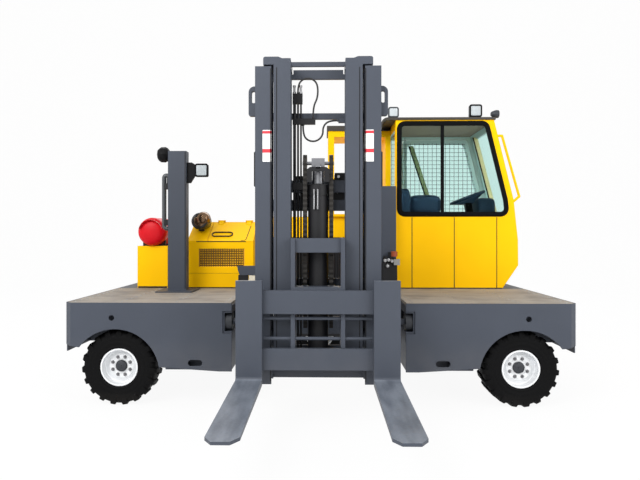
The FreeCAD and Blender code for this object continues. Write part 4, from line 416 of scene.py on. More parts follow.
def bent(corners, closed=False, steps=8):
    """Path through (a, b, radius) corners, each an arc that touches both of its runs."""
    path = []
    for i, (a, b, radius) in enumerate(corners):
        here = np.array([a, b])
        if not radius or (not closed and i in (0, len(corners) - 1)):
            path.append(here)
            continue
        back = np.array(corners[i - 1][:2]) - here
        ahead = np.array(corners[(i + 1) % len(corners)][:2]) - here
        back /= np.hypot(*back)
        ahead /= np.hypot(*ahead)
        half = math.acos(np.clip(back @ ahead, -1, 1)) / 2
        middle = here + (back + ahead) / np.hypot(*(back + ahead)) * radius / math.sin(half)
        start = here + back * radius / math.tan(half) - middle
        stop = here + ahead * radius / math.tan(half) - middle
        share = np.linspace(0, 1, steps)[:, None]
        turn = math.pi - 2 * half
        arc = (start * np.sin((1 - share) * turn) + stop * np.sin(share * turn)) / math.sin(turn)
        path += list(middle + arc)
    return np.array(path)


def raised(path, axis, at):
    """Points of a flat path, in space: the axis's own value is the same all along."""
    others = {0: (1, 2), 1: (0, 2), 2: (0, 1)}[axis]
    points = np.empty((len(path), 3))
    points[:, others[0]] = path[:, 0]
    points[:, others[1]] = path[:, 1]
    points[:, axis] = at
    return points


def piped(name, path, axis, wide, high, closed=False, sides=14):
    """Tube round a flat path: the section's half width lies in the path's plane, its half height
    along the axis. point = path + wide * cos(a) * sideways + high * sin(a) * axis."""
    path = np.asarray(path, float)
    if closed:
        along = np.roll(path, -1, 0) - np.roll(path, 1, 0)
    else:
        along = np.gradient(path, axis=0)
    along /= np.linalg.norm(along, axis=1, keepdims=True)
    up = np.eye(3)[axis]
    sideways = np.cross(along, up)
    angle = np.linspace(0, 2 * np.pi, sides, endpoint=False)
    ring = (np.cos(angle)[None, :, None] * wide * sideways[:, None, :]
            + np.sin(angle)[None, :, None] * high * up)
    grid = path[:, None, :] + ring
    if not closed:
        ends = path[[0, -1], None, :] + 0 * ring[:2]
        grid = np.concatenate([ends[:1], grid, ends[1:]])
    return grid_mesh(name, grid, closed_u=closed, closed_v=True)


def ribbed(material, direction, scale, strength, depth):
    """Even ribs in a finish's relief, across one Object axis."""
    tree = material.node_tree
    spot = node(tree, "TexCoord", {})
    wave = node(tree, "TexWave", {"Vector": spot.outputs["Object"], "Scale": scale},
                bands_direction=direction)
    bump = node(tree, "Bump", {"Strength": strength, "Distance": depth, "Height": wave.outputs["Fac"]})
    feed(tree, tree.nodes["Principled BSDF"], {"Normal": bump.outputs["Normal"]})


mast_grey = weather(finish_of("mast_grey", linear(64, 69, 79), 0.48, 0.05, 60, 0.08, seed=9,
                              shine=0.3, edge=0.006), dust_colour, 0.3, 0.7, 0.08)
dress(mast_grey, "mast_carriage", "outer_mast", "inner_mast", "fork_carriage")
fork_paint = finish_of("fork_paint", linear(66, 71, 81), 0.45, 0.06, 60, 0.1, seed=67, shine=0.3)
tree, colour, under = coat_of(fork_paint)
level = span(tree, upward(tree, "Normal"), 0.5, 0.9, 0.0, 1.0)
worn = stops(tree, speckle(tree, 5.0, 8.0, 68, (3, 0.6, 1)), (0.35, linear(88, 94, 104)),
             (0.65, linear(112, 118, 128)))
tree.links.new(mixed(tree, level, under, worn), colour)
dress(fork_paint, "fork_left", "fork_right")
chrome = finish_of("chrome", linear(206, 208, 212), 0.10, 0.03, 60, 0.02, metal=1.0, seed=8)
dress(chrome, "reach_rods", "lift_rods", "tilt_rods")
bright_metal = finish_of("bright_metal", linear(172, 172, 174), 0.32, 0.08, 120, 0.1, metal=1.0, seed=5)
head_steel = finish_of("head_steel", linear(132, 133, 137), 0.34, 0.3, 90, 0.2, metal=1.0, seed=6)
dress(head_steel, "free_lift_head")
chain_steel = finish_of("chain_steel", linear(44, 42, 40), 0.42, 0.2, 200, 0.3, metal=0.7, seed=45)
ribbed(chain_steel, "Z", 8.0, 0.8, 0.004)
dress(chain_steel, "lift_chains")

free_low, free_high = np.array(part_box("free_lift_barrel"))
mast_y = (free_low[1] + free_high[1]) / 2
barrel_r = (free_high[0] - free_low[0]) / 2
barrel = turned("free_lift_cylinder",
                [(free_low[2], 0.04), (free_low[2], barrel_r), (free_high[2] - 0.095, barrel_r),
                 (free_high[2] - 0.095, barrel_r - 0.006), (free_high[2] - 0.088, barrel_r - 0.006),
                 (free_high[2] - 0.088, barrel_r), (free_high[2] - 0.006, barrel_r),
                 (free_high[2], barrel_r - 0.006), (free_high[2], 0.0465), (free_high[2] - 0.02, 0.0462),
                 (free_low[2], 0.04)], (0, mast_y, 0), axis=2, steps=72)
fit(barrel, black_iron, "inner_mast", "black_metal", "free_lift_barrel")
# The yoke hangs in front of the cross head and guards the chain wheels. Two feed pipes with their
# nuts end on the cylinder's front.
yoke = [(-0.084, 1.836), (-0.045, 1.836), (-0.045, 1.918), (0.045, 1.918), (0.045, 1.836),
        (0.084, 1.836), (0.084, 1.932), (0.062, 1.950), (-0.062, 1.950), (-0.084, 1.932)]
fit(prism("head_yoke", yoke, (-0.700, -0.688)), black_iron, "free_lift_head", "black_metal")
arm = [(-0.700, 1.938), (-0.687, 1.938), (-0.687, 1.962), (-0.638, 1.962), (-0.638, 1.982),
       (-0.700, 1.982)]
fit(prism("yoke_arm", arm, (-0.016, 0.016), axis=0), head_steel, "free_lift_head", "bright_steel")
feed_x, feed_y, feed_z = (-0.031, -0.003), -0.686, (1.645, 1.772)
for label, x in zip(("left", "right"), feed_x):
    run = [(x, feed_y, z) for z in np.linspace(*feed_z, 8)]
    fit(piped("feed_pipe_" + label, run, 0, 0.005, 0.005), bright_metal, "inner_mast", "bright_steel")
fit(turned("feed_nuts", [(-0.012, 0), (-0.012, 0.0085), (0.012, 0.0085), (0.012, 0)], (0, feed_y, 0),
           axis=2, steps=6, copies=[(x, 0, z) for z in feed_z for x in feed_x]),
    bright_metal, "inner_mast", "bright_steel")

hose_rubber = finish_of("hose_rubber", linear(24, 24, 26), 0.48, 0.12, 160, 0.25, seed=46)
hose_y = -0.520
routes = {
    "upper": ((-0.158, 2.5503), (-0.158, 2.615), (-0.1127, 2.6603), (-0.0487, 2.6603),
              (-0.0034, 2.615), (-0.0034, 2.510), (-0.040, 2.440), (-0.040, 2.3553)),
    "lower": ((-0.118, 2.2897), (-0.118, 2.215), (-0.0727, 2.1697), (-0.0087, 2.1697),
              (0.0366, 2.215), (0.0366, 2.285), (0.0819, 2.3303), (0.147, 2.3303)),
}
for label, route in routes.items():
    curve = bpy.data.curves.new(label + "_loop", "CURVE")
    curve.dimensions = "3D"
    curve.bevel_depth = 0.007
    curve.bevel_resolution = 5
    curve.resolution_u = 10
    curve.use_fill_caps = True
    line = curve.splines.new("NURBS")
    line.points.add(len(route) - 1)
    for point, (x, z) in zip(line.points, route):
        point.co = (x, hose_y, z, 1)
    line.order_u = 3
    line.use_endpoint_u = True
    hose = bpy.data.objects.new(label + "_loop", curve)
    bpy.context.scene.collection.objects.link(hose)
    fit(hose, hose_rubber, "inner_mast", "black_plastic", "hose_" + label)

card = finish_of("card", linear(232, 232, 230), 0.4, 0.02, 80, 0.03, seed=47)
tree, colour, under = coat_of(card)
card_low, card_high = 1.990, 2.228
bands = stops(tree, span(tree, upward(tree), card_low, card_high, 0.0, 1.0),
              *[(place, (on, on, on, 1)) for place, on in ((0.0, 0), (0.28, 0), (0.285, 1), (0.40, 1),
                (0.405, 0), (0.88, 0), (0.885, 1), (0.97, 1), (0.975, 0))])
tree.links.new(mixed(tree, bands, under, linear(206, 46, 58)), colour)
# A strip stuck on a front face is 1 mm thick and stands 0.2 mm off it.
mast_front, stuck_on = -0.700, np.array([-0.0012, -0.0002])
for label, way in (("left", -1), ("right", 1)):
    inner, outer = sorted((way * 0.352, way * 0.417))
    fit(prism("card_" + label, rounded(inner, card_low, outer, card_high, 0.004, 4), mast_front + stuck_on),
        card, "outer_mast", "rim_paint")

for way in (-1, 1):
    for label, body, x, y, low, high in (("inner_line", "inner_mast", 0.312, -0.695, 0.50, 2.70),
                                         ("outer_line", "outer_mast", 0.357, mast_front, 0.34, 2.69)):
        strip = oblong(way * x - 0.0035, low, way * x + 0.0035, high)
        fit(prism(label + str(way), strip, y + stuck_on), black_iron, body, "black_metal")
    guide = bent([(way * 0.474, 1.80, 0), (way * 0.487, 1.81, 0), (way * 0.487, 2.065, 0),
                  (way * 0.474, 2.075, 0)])
    fit(prism("guide" + str(way), guide, (-0.66, -0.60)), black_iron, "outer_mast", "black_metal")
rails = turned("carriage_rails", [(-0.398, 0), (-0.398, 0.013), (0.398, 0.013), (0.398, 0)],
               (0, -0.790, 0), axis=0, steps=20, copies=((0, 0, 0.827), (0, 0, 0.679)))
fit(rails, mast_grey, "fork_carriage", "mast_steel")
for way in (-1, 1):
    fit(prism("hose_guard" + str(way), oblong(way * 0.325, 0.345, way * 0.355, 2.660), (-0.452, -0.447)),
        black_iron, "outer_mast", "black_metal")
manifold_nuts = turned("manifold_nuts", [(2.540, 0.013), (2.556, 0.013), (2.557, 0.009), (2.590, 0.009),
                                         (2.591, 0.012), (2.606, 0.012), (2.608, 0)], (0, hose_y, 0),
                       axis=2, steps=6, copies=((-0.186, 0, 0), (-0.136, 0, 0)))
fit(manifold_nuts, bright_metal, "inner_mast", "bright_steel")
gear = [(-0.190, 1.712), (0.215, 1.712), (0.215, 1.930), (0.130, 1.930), (0.126, 1.880), (0.075, 1.880),
        (0.070, 1.800), (-0.085, 1.800), (-0.090, 1.905), (-0.190, 1.905)]
fit(prism("hose_drum_box", gear, (-0.450, -0.390)), black_iron, "outer_mast", "black_metal")
unions = turned("unions", [(-0.462, 0), (-0.462, 0.011), (-0.446, 0.011), (-0.446, 0)], (0, 0, 0),
                steps=12, copies=[(x, 0, z) for x, z in ((-0.16, 1.87), (-0.11, 1.83), (0.10, 1.86),
                                  (0.16, 1.90), (0.19, 1.84), (0.15, 1.78), (-0.14, 1.76))])
fit(unions, bright_metal, "outer_mast", "bright_steel")


# ---- Engine housing, post and gas tank --------------------------------------------------
# Sheet steel in yellow enamel over the engine, with a lid hinged at the back. Beside it stand
# the battery box, the steel post with its lamps and the red gas tank on two saddles.
yellow = finish_of("yellow", linear(255, 195, 0), 0.5, 0.03, 50, 0.04, seed=4, shine=0.08,
                   edge=0.012)
dress(yellow, "hood_body", "hood_lid", "battery_box", "cab_annex", "rear_cover", "grab_handle")
# Near-black for the lid's grip, and painted shade for the seams, gaps, slits and the strips under the cab
# and the boxes.
gap_shade_black = finish_of("gap_shade_black", linear(16, 15, 14), 0.8, 0.2, 60, 0.2, seed=51)
face_y, slope_foot, slope = 1.100, 1.3715, 0.5175


def on_slope(points, lift=0.0):
    """Points (x, y) put on the housing's sloping top, or lifted above it."""
    x, y = np.asarray(points, float).T[:2]
    return np.stack([x, y, slope_foot + (y - face_y) * slope + lift], -1)


# The lid's seams are dark lines: painted shade for the gaps round the lid.
seam = raised(np.array([(-1.300, 1.364), (-0.775, 1.364)]), 1, face_y - 0.0005)
fit(piped("lid_seam", seam, 1, 0.0045, 0.002), gap_shade_black, "chassis", "black_plastic")
side_seam = bent([(-0.830, 1.104, 0), (-0.778, 1.112, 0.03), (-0.758, 1.410, 0)])
fit(piped("lid_side_seam", on_slope(side_seam), 2, 0.004, 0.003), gap_shade_black, "hood_lid",
    "black_plastic")
grip = rounded(-1.150, 1.180, -0.936, 1.262, 0.035)
fit(piped("lid_grip", on_slope(grip, 0.008), 2, 0.007, 0.007, closed=True), gap_shade_black, "hood_lid",
    "black_plastic")
# The skirt's seam is a dark line: painted shade where the skirt steps out.
skirt = raised(np.array([(-1.392, 1.030), (-0.698, 1.030)]), 1, face_y - 0.0005)
fit(piped("skirt_seam", skirt, 1, 0.0010, 0.002), gap_shade_black, "chassis", "black_plastic")
brass = finish_of("brass", linear(232, 172, 30), 0.5, 0.25, 120, 0.3, seed=52, shine=0.2)
dress(brass, "hood_grille")
# The grille's vertical wires are coloured dark brown: painted shade for the gaps between the bars.
grille_wire_shade = finish_of("grille_wire_shade", linear(84, 54, 12), 0.5, 0.2, 90, 0.2, seed=53)
wire_places = [(x, 0, 0) for x in np.arange(-1.262, -0.792, 0.0242)]
fit(turned("grille_wires", [(1.100, 0), (1.100, 0.0040), (1.288, 0.0040), (1.288, 0)], (0, 1.1035, 0),
           axis=2, steps=4, copies=wire_places), grille_wire_shade, "chassis", "bright_steel")

tank_x, tank_z, tank_r = -1.762, 1.468, 0.148
body = [(1.012, 0.0), (1.014, 0.040), (1.020, 0.080), (1.030, 0.108), (1.045, 0.130), (1.065, 0.1425),
        (1.090, tank_r), (1.205, tank_r), (1.210, tank_r - 0.002), (1.215, tank_r), (1.480, tank_r),
        (1.485, tank_r - 0.002), (1.490, tank_r), (1.590, tank_r), (1.630, 0.1425), (1.655, 0.125),
        (1.672, 0.095), (1.679, 0.05), (1.680, 0.0)]
tank_red = finish_of("tank_red", linear(206, 10, 26), 0.4, 0.05, 40, 0.04, seed=6, shine=0.2)
tank = turned("propane_tank", body, (tank_x, 0, tank_z), steps=96)
fit(tank, tank_red, "chassis", "tank_red", "gas_tank")
angle = np.linspace(math.radians(15), math.radians(165), 40)
collar_path = np.stack([tank_x + 0.122 * np.cos(angle), 0 * angle + 1.016, tank_z + 0.122 * np.sin(angle)],
                       -1)
fit(piped("tank_collar", collar_path, 1, 0.004, 0.020), tank_red, "chassis", "tank_red")

cleaner_x, cleaner_z, cleaner_r = -1.280, 1.580, 0.0915
drum = [(1.160, 0), (1.160, 0.060), (1.163, 0.078), (1.170, 0.086), (1.180, 0.088), (1.196, 0.088),
        (1.198, cleaner_r), (1.210, cleaner_r), (1.212, 0.088), (1.400, 0.088), (1.412, 0.082),
        (1.420, 0.070), (1.420, 0)]
drum_black = finish_of("drum_black", linear(26, 25, 25), 0.34, 0.1, 90, 0.1, gloss=0.3, seed=54)
fit(turned("air_drum", drum, (cleaner_x, 0, cleaner_z), steps=72), drum_black, "chassis", "black_metal",
    "air_cleaner")
fit(prism("drum_foot", [(-1.310, 1.478), (-1.250, 1.478), (-1.262, 1.505), (-1.298, 1.505)],
          (1.270, 1.330)), black_iron, "chassis", "black_metal")
drum_clip = [(1.1585, 0.0), (1.1565, 0.012), (1.1565, 0.050), (1.1585, 0.056)]
clip_steel = finish_of("clip_steel", linear(120, 96, 74), 0.26, 0.1, 60, 0.1, metal=1.0, seed=55)
fit(turned("drum_cap", drum_clip, (cleaner_x, 0, cleaner_z), steps=48), clip_steel, "chassis",
    "bright_steel")
bowl = [(-0.070, 0), (-0.068, 0.030), (-0.060, 0.052), (-0.040, 0.068), (-0.010, 0.075), (0.030, 0.074),
        (0.032, 0.078), (0.040, 0.078), (0.042, 0.0)]
fit(turned("drum_bowl", bowl, (-1.252, 1.215, 1.606), steps=48), clip_steel, "chassis", "bright_steel")

satin_pipe = finish_of("satin_pipe", linear(74, 77, 80), 0.34, 0.08, 80, 0.1, metal=0.3, seed=56)
pipe_line = bent([(-1.510, 1.500, 0), (-1.583, 1.500, 0.03), (-1.583, 2.040, 0.024),
                  (-1.534, 2.040, 0.024), (-1.534, 1.900, 0)])
fit(piped("bent_pipe", raised(pipe_line, 1, 0.890), 1, 0.0225, 0.0225, sides=24), satin_pipe, "chassis",
    "bright_steel", "exhaust_pipe")
for z in (1.925, 1.560):
    fit(prism("pipe_clamp", oblong(-1.562, z - 0.03, -1.506, z + 0.03), (0.800, 0.860)), black_iron,
        "chassis", "black_metal")

post_face = 0.745
# A black strip down the post's edge: painted shade for the dark gap beside the post.
fit(prism("post_gap_shade", oblong(-1.340, 0.900, -1.331, 2.262), post_face + stuck_on), black_iron,
    "chassis", "black_metal")
fit(prism("box_shadow", oblong(-1.915, 0.8745, -1.608, 0.892), face_y + stuck_on), gap_shade_black,
    "chassis", "black_plastic")
cradle = [(-0.838, 1.118), (-0.627, 1.118), (-0.630, 1.060), (-0.642, 1.024), (-0.812, 1.024),
          (-0.830, 1.070)]
fit(prism("cradle", cradle, (0.900, 0.960)), frame_grey, "chassis", "frame_paint")
block_card = finish_of("block_card", linear(214, 206, 186), 0.6, 0.05, 60, 0.1, seed=60)
block = [(-0.728, 0.965), (-0.636, 0.965), (-0.646, 0.984), (-0.648, 1.026), (-0.718, 1.026),
         (-0.718, 0.984)]
fit(prism("cradle_block", block, (0.904, 0.950)), block_card, "chassis", "rim_paint")
foot = [(-0.850, 0.875), (-0.630, 0.875), (-0.630, 0.965), (-0.728, 0.968), (-0.728, 1.026),
        (-0.826, 1.026), (-0.830, 0.965), (-0.850, 0.965)]
fit(prism("cradle_foot", foot, (0.905, 0.955)), black_iron, "chassis", "black_metal")
fit(prism("radiator_shroud", oblong(-0.630, 0.880, 0.630, 1.405), (1.585, 1.599)), black_iron, "chassis",
    "black_metal")
fit(prism("wheel_shield", oblong(-0.255, 0.340, 0.255, 0.800), (1.284, 1.292)), black_iron, "chassis",
    "black_metal")
lines = [(x, 0, 0) for x in (-0.20, -0.17, -0.13, 0.12, 0.16, 0.21)]
fit(turned("shroud_lines", [(0.90, 0), (0.90, 0.010), (1.39, 0.010), (1.39, 0)], (0, 1.572, 0), axis=2,
           steps=12, copies=lines), black_iron, "chassis", "black_metal")
valve_y = 0.895
knobs = [(x, 0, z) for x, z in ((0.665, 1.175), (0.700, 1.180), (0.735, 1.170), (0.690, 1.120))]
fit(turned("valve_unions", [(-0.03, 0), (-0.03, 0.014), (-0.012, 0.014), (-0.011, 0.018), (0.01, 0.018)],
           (0, valve_y, 0), steps=6, copies=knobs), bright_metal, "chassis", "bright_steel")
cap_brown = finish_of("cap_brown", linear(150, 66, 30), 0.45, 0.1, 60, 0.1, seed=61)
fit(turned("oil_cap", [(1.215, 0), (1.215, 0.034), (1.262, 0.034), (1.268, 0.028), (1.268, 0)],
           (0.762, valve_y + 0.04, 0), axis=2, steps=24), cap_brown, "chassis", "black_plastic")
fit(prism("relief_valve", oblong(0.752, 1.130, 0.812, 1.190), (valve_y - 0.03, valve_y)), galvanised,
    "chassis", "bright_steel")


# ---- Lamps -------------------------------------------------------------------------------
# Square work lamps in black plastic housings on steel brackets, each with a ribbed lens over
# a bright reflector.
def squared(x, z, reach, radius):
    """Outline of a square with round corners about a centre."""
    return rounded(x - reach, z - reach, x + reach, z + reach, radius)


black_plastic = finish_of("black_plastic", linear(12, 12, 14), 0.55, 0.1, 150, 0.2, seed=7,
                          shine=0.15)
lens = finish_of("lens", linear(172, 179, 182), 0.2, 0.2, 30, 0.1, seed=57)
ribbed(lens, "X", 22.0, 0.5, 0.003)
bowl_steel = finish_of("bowl_steel", linear(58, 61, 66), 0.45, 0.1, 60, 0.1, metal=0.2, seed=62,
                       shine=0.3)
for label, x, z, y, half, rim, colour in (("post", -1.177, 2.081, 0.760, 0.068, 0.018, black_plastic),
                                          ("roof_left", 0.778, 2.724, 1.120, 0.057, 0.016, bowl_steel),
                                          ("roof_middle", 1.638, 2.736, 1.120, 0.068, 0.019,
                                           black_plastic)):
    house = prism("lamp_" + label, squared(x, z, half - 0.004, 0.016), (y + 0.008, y + 0.058))
    fit(house, black_plastic if label == "post" else bowl_steel, "chassis", "black_plastic",
        *(("work_lamps",) if label == "post" else ()))
    edge = piped("lamp_rim_" + label, raised(squared(x, z, half - rim / 2, 0.016), 1, y + 0.008), 1,
                 rim / 2, 0.008, closed=True)
    fit(edge, colour, "chassis", "black_plastic")
    fit(prism("lens_" + label, squared(x, z, half - rim, 0.01), (y + 0.002, y + 0.0075)), lens,
        "chassis", "glass")
arm = prism("lamp_arm", [(-1.325, 1.955), (-1.290, 1.955), (-1.243, 2.030), (-1.243, 2.140),
                         (-1.275, 2.160), (-1.325, 2.160)], (0.775, 0.815))
fit(arm, black_plastic, "chassis", "black_plastic")
side_bowl = [(-1.621, 0.0), (-1.619, 0.050), (-1.612, 0.060), (-1.590, 0.076), (-1.545, 0.078),
             (-1.520, 0.066), (-1.505, 0.045), (-1.498, 0.0)]
fit(turned("lamp_side", side_bowl, (0, 0.800, 2.241), axis=0, steps=8), black_plastic, "chassis",
    "black_plastic")
roof_bowl = [(1.883, 0.0), (1.883, 0.036), (1.876, 0.042), (1.850, 0.042), (1.815, 0.030),
             (1.800, 0.018), (1.798, 0.0)]
fit(turned("lamp_roof_side", roof_bowl, (0, 1.150, 2.704), axis=0, steps=24), bowl_steel, "chassis",
    "black_plastic")
feet = [(x, 0, 0) for x in (0.778, 1.638)]
fit(turned("lamp_feet", [(2.655, 0), (2.655, 0.010), (2.690, 0.010), (2.690, 0)], (0, 1.150, 0), axis=2,
           steps=12, copies=feet), black_plastic, "chassis", "black_plastic")


# ---- Cab ---------------------------------------------------------------------------------
# Welded cab in the same yellow with tinted panes set in black rubber, a door at the back
# behind a wire guard, a sheet roof and an open steel frame on the mast side.
roof_black = finish_of("roof_black", linear(44, 38, 30), 0.5, 0.1, 80, 0.1, seed=58)
dress(roof_black, "cab_roof")
pane = finish_of("pane", linear(224, 243, 240), 0.03, 0.01, 3, 0.0, seed=13)
feed(pane.node_tree, pane.node_tree.nodes["Principled BSDF"], {"Transmission Weight": 1.0, "IOR": 1.02})
dress(pane, "cab_glass", "door_glass")
cab_black = finish_of("cab_black", linear(7, 7, 8), 0.6, 0.15, 140, 0.2, seed=59, shine=0.08)
cab_paint = finish_of("cab_paint", linear(255, 195, 0), 0.5, 0.03, 50, 0.04, seed=64, shine=0.08,
                      edge=0.012)
tree, colour, under = coat_of(cab_paint)
# Faces that look towards the middle of the cab take a paler colour, partly lining paint and partly painted
# light that offsets the shade inside the cab.
spot, cab_middle = node(tree, "TexCoord", {}), (1.40, 1.56, 1.75)
outwards = node(tree, "VectorMath", {0: spot.outputs["Object"], 1: cab_middle}, operation="SUBTRACT")
facing = node(tree, "VectorMath", {0: outwards.outputs["Vector"], 1: spot.outputs["Normal"]},
              operation="DOT_PRODUCT")
painted_light_inside = span(tree, facing.outputs["Value"], -0.06, -0.04, 1.0, 0.0)
tree.links.new(mixed(tree, painted_light_inside, under, linear(222, 236, 234)), colour)
dress(cab_paint, "cab_front", "cab_rear", "cab_ends")


def cab_edge(z):
    """Outer edge of the cab's end at a height, along its bends."""
    heights = (0.873, 1.118, 1.380, 1.800, 2.636)
    return float(np.interp(z, heights, (1.905, 2.071, 2.068, 2.024, 1.820)))


inset, low, high = 0.086, 1.650, 2.600
opening = [(0.835, low, 0.06), (cab_edge(low) - inset, low, 0.06),
           (cab_edge(1.800) - inset, 1.800, 0.02), (cab_edge(high) - inset, high, 0.06),
           (0.835, high, 0.06)]
gasket = raised(bent(opening, closed=True), 1, face_y - 0.002)
fit(piped("gasket_front", gasket, 1, 0.026, 0.004, closed=True), cab_black, "chassis",
    "black_plastic")
fit(prism("centre_bar", oblong(1.267, low, 1.303, high), (face_y + 0.004, face_y + 0.011)), cab_black,
    "chassis", "black_plastic")
# Dark strips in the grooves of the cab's front seams: painted shade, as the grooves alone render light.
for x in (0.968, 1.408, 1.849):
    fit(prism("seam", oblong(x - 0.004, 0.880, x + 0.004, 1.618), (face_y - 0.0008, face_y - 0.0002)),
        gap_shade_black, "chassis", "black_plastic")
for label, left, right in (("cab", 0.802, 1.905), ("hood", -1.393, -0.700)):
    fit(prism(label + "_shadow", oblong(left, 0.8735, right, 0.884), (face_y - 0.0009, face_y - 0.0002)),
        gap_shade_black, "chassis", "black_plastic")
# The tan of the brace and pillar bars is lightened to offset the shade inside the cab: painted light.
tan = finish_of("tan", linear(250, 218, 160), 0.6, 0.08, 60, 0.1, seed=65)
for label, top, foot, y, body in (("brace", (1.0755, 2.500), (1.437, 1.400), 2.050, "cab_door"),
                                  ("pillar", (1.782, 2.560), (2.005, 1.700), 1.800, "chassis")):
    for part, shift, wide, colour in (("bar", 0.0, 0.046, tan), ("edge", -0.014, 0.014, cab_black)):
        outline = [(foot[0] + shift, foot[1]), (foot[0] + shift + wide, foot[1]),
                   (top[0] + shift + wide, top[1]), (top[0] + shift, top[1])]
        fit(prism(label + "_" + part, outline, (y - 0.008, y)), colour, body, "body_paint")


def ring_plate(name, outer, inner, span, centre):
    """Plate along y with one window: both outlines are read at the same angles about a centre
    inside the window, and quads join them round the plate."""
    polar = []
    for path in (outer, inner):
        dense = np.concatenate([a + (b - a) * np.linspace(0, 1, 12, endpoint=False)[:, None]
                                for a, b in zip(path, np.roll(path, -1, 0))]) - centre
        polar.append((np.arctan2(dense[:, 1], dense[:, 0]), np.hypot(*dense.T)))
    turn = np.unique(np.concatenate([polar[0][0][::12], polar[1][0][::12], np.linspace(-3.14, 3.14, 48)]))
    grid = np.empty((len(turn), 4, 3))
    for column, (line, y) in enumerate(((0, 0), (0, 1), (1, 1), (1, 0))):
        reach = np.interp(turn, *polar[line], period=2 * np.pi)
        grid[:, column, 0] = centre[0] + reach * np.cos(turn)
        grid[:, column, 1] = span[y]
        grid[:, column, 2] = centre[1] + reach * np.sin(turn)
    return grid_mesh(name, grid, closed_u=True, closed_v=True)


def raked(left, low, top, inset, radius):
    """Rounded outline whose right edge follows the cab's end."""
    bends = [(cab_edge(z) - inset, z, 0) for z in (1.118, 1.380, 1.800) if low + radius < z < top - radius]
    return bent([(left, low, radius), (cab_edge(low) - inset, low, radius)] + bends
                + [(cab_edge(top) - inset, top, radius), (left, top, radius)], closed=True)


leaf = raked(0.991, 0.984, 2.566, 0.076, 0.046)
light = raked(1.046, 1.420, 2.511, 0.131, 0.050)
door = ring_plate("door_leaf", leaf, light, (2.020, 2.050), np.array([1.45, 1.95]))
fit(door, cab_paint, "cab_door", "body_paint", "cab_door")
hinge_x, hinge_y = 0.981, 2.066
for z in (1.158, 2.352):
    strap = oblong(hinge_x, z - 0.024, hinge_x + 0.060, z + 0.024)
    fit(prism("hinge_strap", strap, (2.0502, hinge_y + 0.008)), cab_paint, "cab_door", "body_paint")
    knuckle = [(z - 0.024, 0.0062), (z - 0.024, 0.014), (z + 0.024, 0.014), (z + 0.024, 0.0062),
               (z - 0.024, 0.0062)]
    fit(turned("hinge_knuckle", knuckle, (hinge_x, hinge_y, 0), axis=2, steps=24), cab_paint, "cab_door",
        "body_paint")
liner = finish_of("liner", linear(176, 152, 136), 0.8, 0.06, 90, 0.2, seed=66)
fit(prism("headliner", oblong(0.830, 1.135, 1.790, 2.015), (2.602, 2.608), axis=2), liner, "chassis",
    "seat_cover")
rungs = [(x, 0, 0) for x in (0.862, 0.914, 0.966, 1.018)]
fit(turned("net_uprights", [(1.60, 0), (1.60, 0.002), (2.59, 0.002), (2.59, 0)], (0, 2.009, 0), axis=2,
           steps=4, copies=rungs), black_iron, "chassis", "black_metal")
rungs = [(0, 0, z) for z in np.arange(1.60, 2.59, 0.048)]
fit(turned("net_rows", [(0.84, 0), (0.84, 0.002), (1.03, 0.002), (1.03, 0)], (0, 2.006, 0), axis=0,
           steps=4, copies=rungs), black_iron, "chassis", "black_metal")


# ---- Inside the cab ----------------------------------------------------------------------
# Foam cushions under dark-blue cloth on a steel seat frame, and a steering wheel with a black
# rim on a plastic console.
def cushion(name, centre, size, power=4.0, rows=28, columns=48):
    """Superellipsoid: |x/a|^p + |y/b|^p + |z/c|^p = 1, sampled by latitude and longitude."""
    up = np.linspace(-np.pi / 2, np.pi / 2, rows)
    turn = np.linspace(-np.pi, np.pi, columns, endpoint=False)
    level, rise, cosine, sine = (np.sign(v) * np.abs(v) ** (2 / power)
                                 for v in (np.cos(up), np.sin(up), np.cos(turn), np.sin(turn)))
    grid = np.empty((rows, columns, 3))
    grid[..., 0] = size[0] / 2 * level[:, None] * cosine
    grid[..., 1] = size[1] / 2 * level[:, None] * sine
    grid[..., 2] = size[2] / 2 * rise[:, None]
    return grid_mesh(name, grid + np.asarray(centre), closed_v=True)


seat_cloth = finish_of("seat_cloth", linear(34, 52, 76), 0.85, 0.15, 200, 0.4, seed=12)
for label, centre, size in (("squab", (1.16, 1.575, 1.40), (0.48, 0.45, 0.16)),
                            ("back", (0.940, 1.575, 1.70), (0.13, 0.43, 0.50)),
                            ("rest", (1.165, 1.575, 1.765), (0.36, 0.36, 0.225))):
    pad = cushion("seat_" + label, centre, size)
    fit(pad, seat_cloth, "chassis", "seat_cover", *(("seat",) if label == "squab" else ()))
fit(prism("seat_base", oblong(0.95, 0.906, 1.35, 1.325), (1.40, 1.75)), black_iron, "chassis",
    "black_metal")

console_blue = finish_of("console_blue", linear(30, 46, 64), 0.55, 0.08, 120, 0.15, seed=69, shine=0.2)
wheel_at, wheel_r, grip_r = np.array([1.655, 1.560, 1.850]), 0.190, 0.015
across, along_y, up = np.array([0.934, 0, 0.358]), np.array([0, 1, 0]), np.array([-0.358, 0, 0.934])
around = np.linspace(0, 2 * np.pi, 72, endpoint=False)[:, None, None]
tube = np.linspace(0, 2 * np.pi, 12, endpoint=False)[None, :, None]
hoop = (wheel_at + (wheel_r + grip_r * np.cos(tube)) * (np.cos(around) * across + np.sin(around) * along_y)
        + grip_r * np.sin(tube) * up)
fit(grid_mesh("steering_hoop", hoop, closed_u=True, closed_v=True), console_blue, "chassis",
    "black_plastic", "steering_console")
spoke = [(1.480, 1.775), (1.520, 1.770), (1.640, 1.775), (1.668, 1.755), (1.700, 1.775), (1.815, 1.890),
         (1.790, 1.900), (1.690, 1.860), (1.600, 1.835)]
fit(prism("steering_spoke", spoke, (1.530, 1.590)), console_blue, "chassis", "black_plastic")
fit(prism("steering_column", [(1.620, 1.790), (1.690, 1.790), (1.860, 0.910), (1.780, 0.910)],
          (1.520, 1.600)), cab_black, "chassis", "black_plastic")
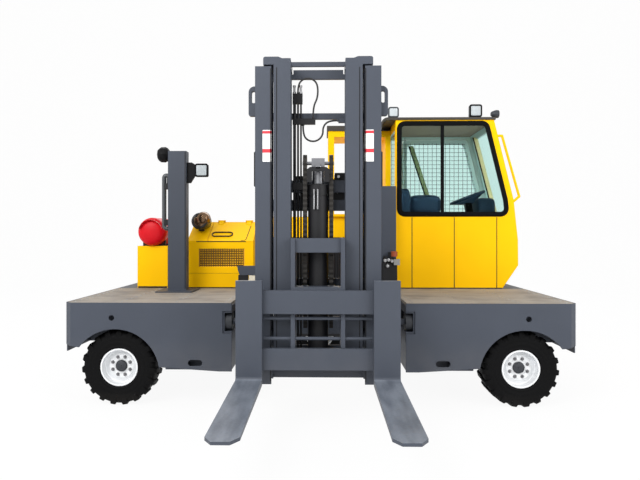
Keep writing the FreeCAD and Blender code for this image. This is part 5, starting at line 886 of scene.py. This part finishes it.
console = cushion("console", (1.820, 1.560, 1.640), (0.200, 0.42, 0.400), power=6.0)
fit(console, console_blue, "chassis", "black_plastic")


# ---- The rear face -----------------------------------------------------------------------
# Pressed louvres cool the engine from behind, and red lamps in black bezels, a tow pin and the
# door's lever handle are bolted to the steel.
back_y, end_x = 2.080, -1.923
# Each louvre is a dark slit stuck on the face: painted shade for its opening.
for row in range(9):
    z = 1.080 + 0.036 * row
    slit = rounded(-1.255, z, -0.860, z + 0.014, 0.006, 5)
    fit(prism("louvre", slit, (back_y + 0.0002, back_y + 0.002)), gap_shade_black, "chassis", "black_plastic")
# Each side louvre is a dark slit stuck on the face: painted shade for its opening.
for row in range(6):
    y = 1.300 + 0.110 * row
    slit = rounded(y, 1.060, y + 0.014, 1.230, 0.006, 5)
    fit(prism("side_louvre", slit, (end_x - 0.0018, end_x - 0.0002), axis=0), gap_shade_black, "chassis",
        "black_plastic")
lamp_red = finish_of("lamp_red", linear(150, 8, 12), 0.2, 0.1, 40, 0.1, seed=70)
lamp_amber = finish_of("lamp_amber", linear(214, 110, 14), 0.2, 0.1, 40, 0.1, seed=71)
rear_y, lamp_z = 2.100, 0.700
for way in (-1, 1):
    for label, x, colour in (("stop", 1.860, lamp_red), ("turn", 1.980, lamp_amber)):
        for part, half, depth, paint in (("bezel", 0.052, 0.010, black_plastic),
                                         ("lamp", 0.044, 0.018, colour)):
            plan = squared(way * x, lamp_z, half, 0.014)
            fit(prism(label + part, plan, (rear_y + 0.0002, rear_y + depth)), paint, "chassis",
                "tank_red" if part == "lamp" else "black_plastic")
jaw = turned("tow_jaw", [(0.0002, 0.050), (0.006, 0.050), (0.006, 0.034), (0.022, 0.034), (0.022, 0)],
             (0, rear_y, lamp_z), steps=40)
fit(jaw, black_iron, "chassis", "black_metal")
lever = bent([(1.020, 1.215, 0.008), (1.130, 1.215, 0.008), (1.130, 1.240, 0.008), (1.050, 1.240, 0),
              (1.050, 1.270, 0.008), (1.020, 1.270, 0.008)], closed=True)
fit(prism("door_lever", lever, (back_y + 0.0005, back_y + 0.022)), black_plastic, "cab_door",
    "black_plastic")
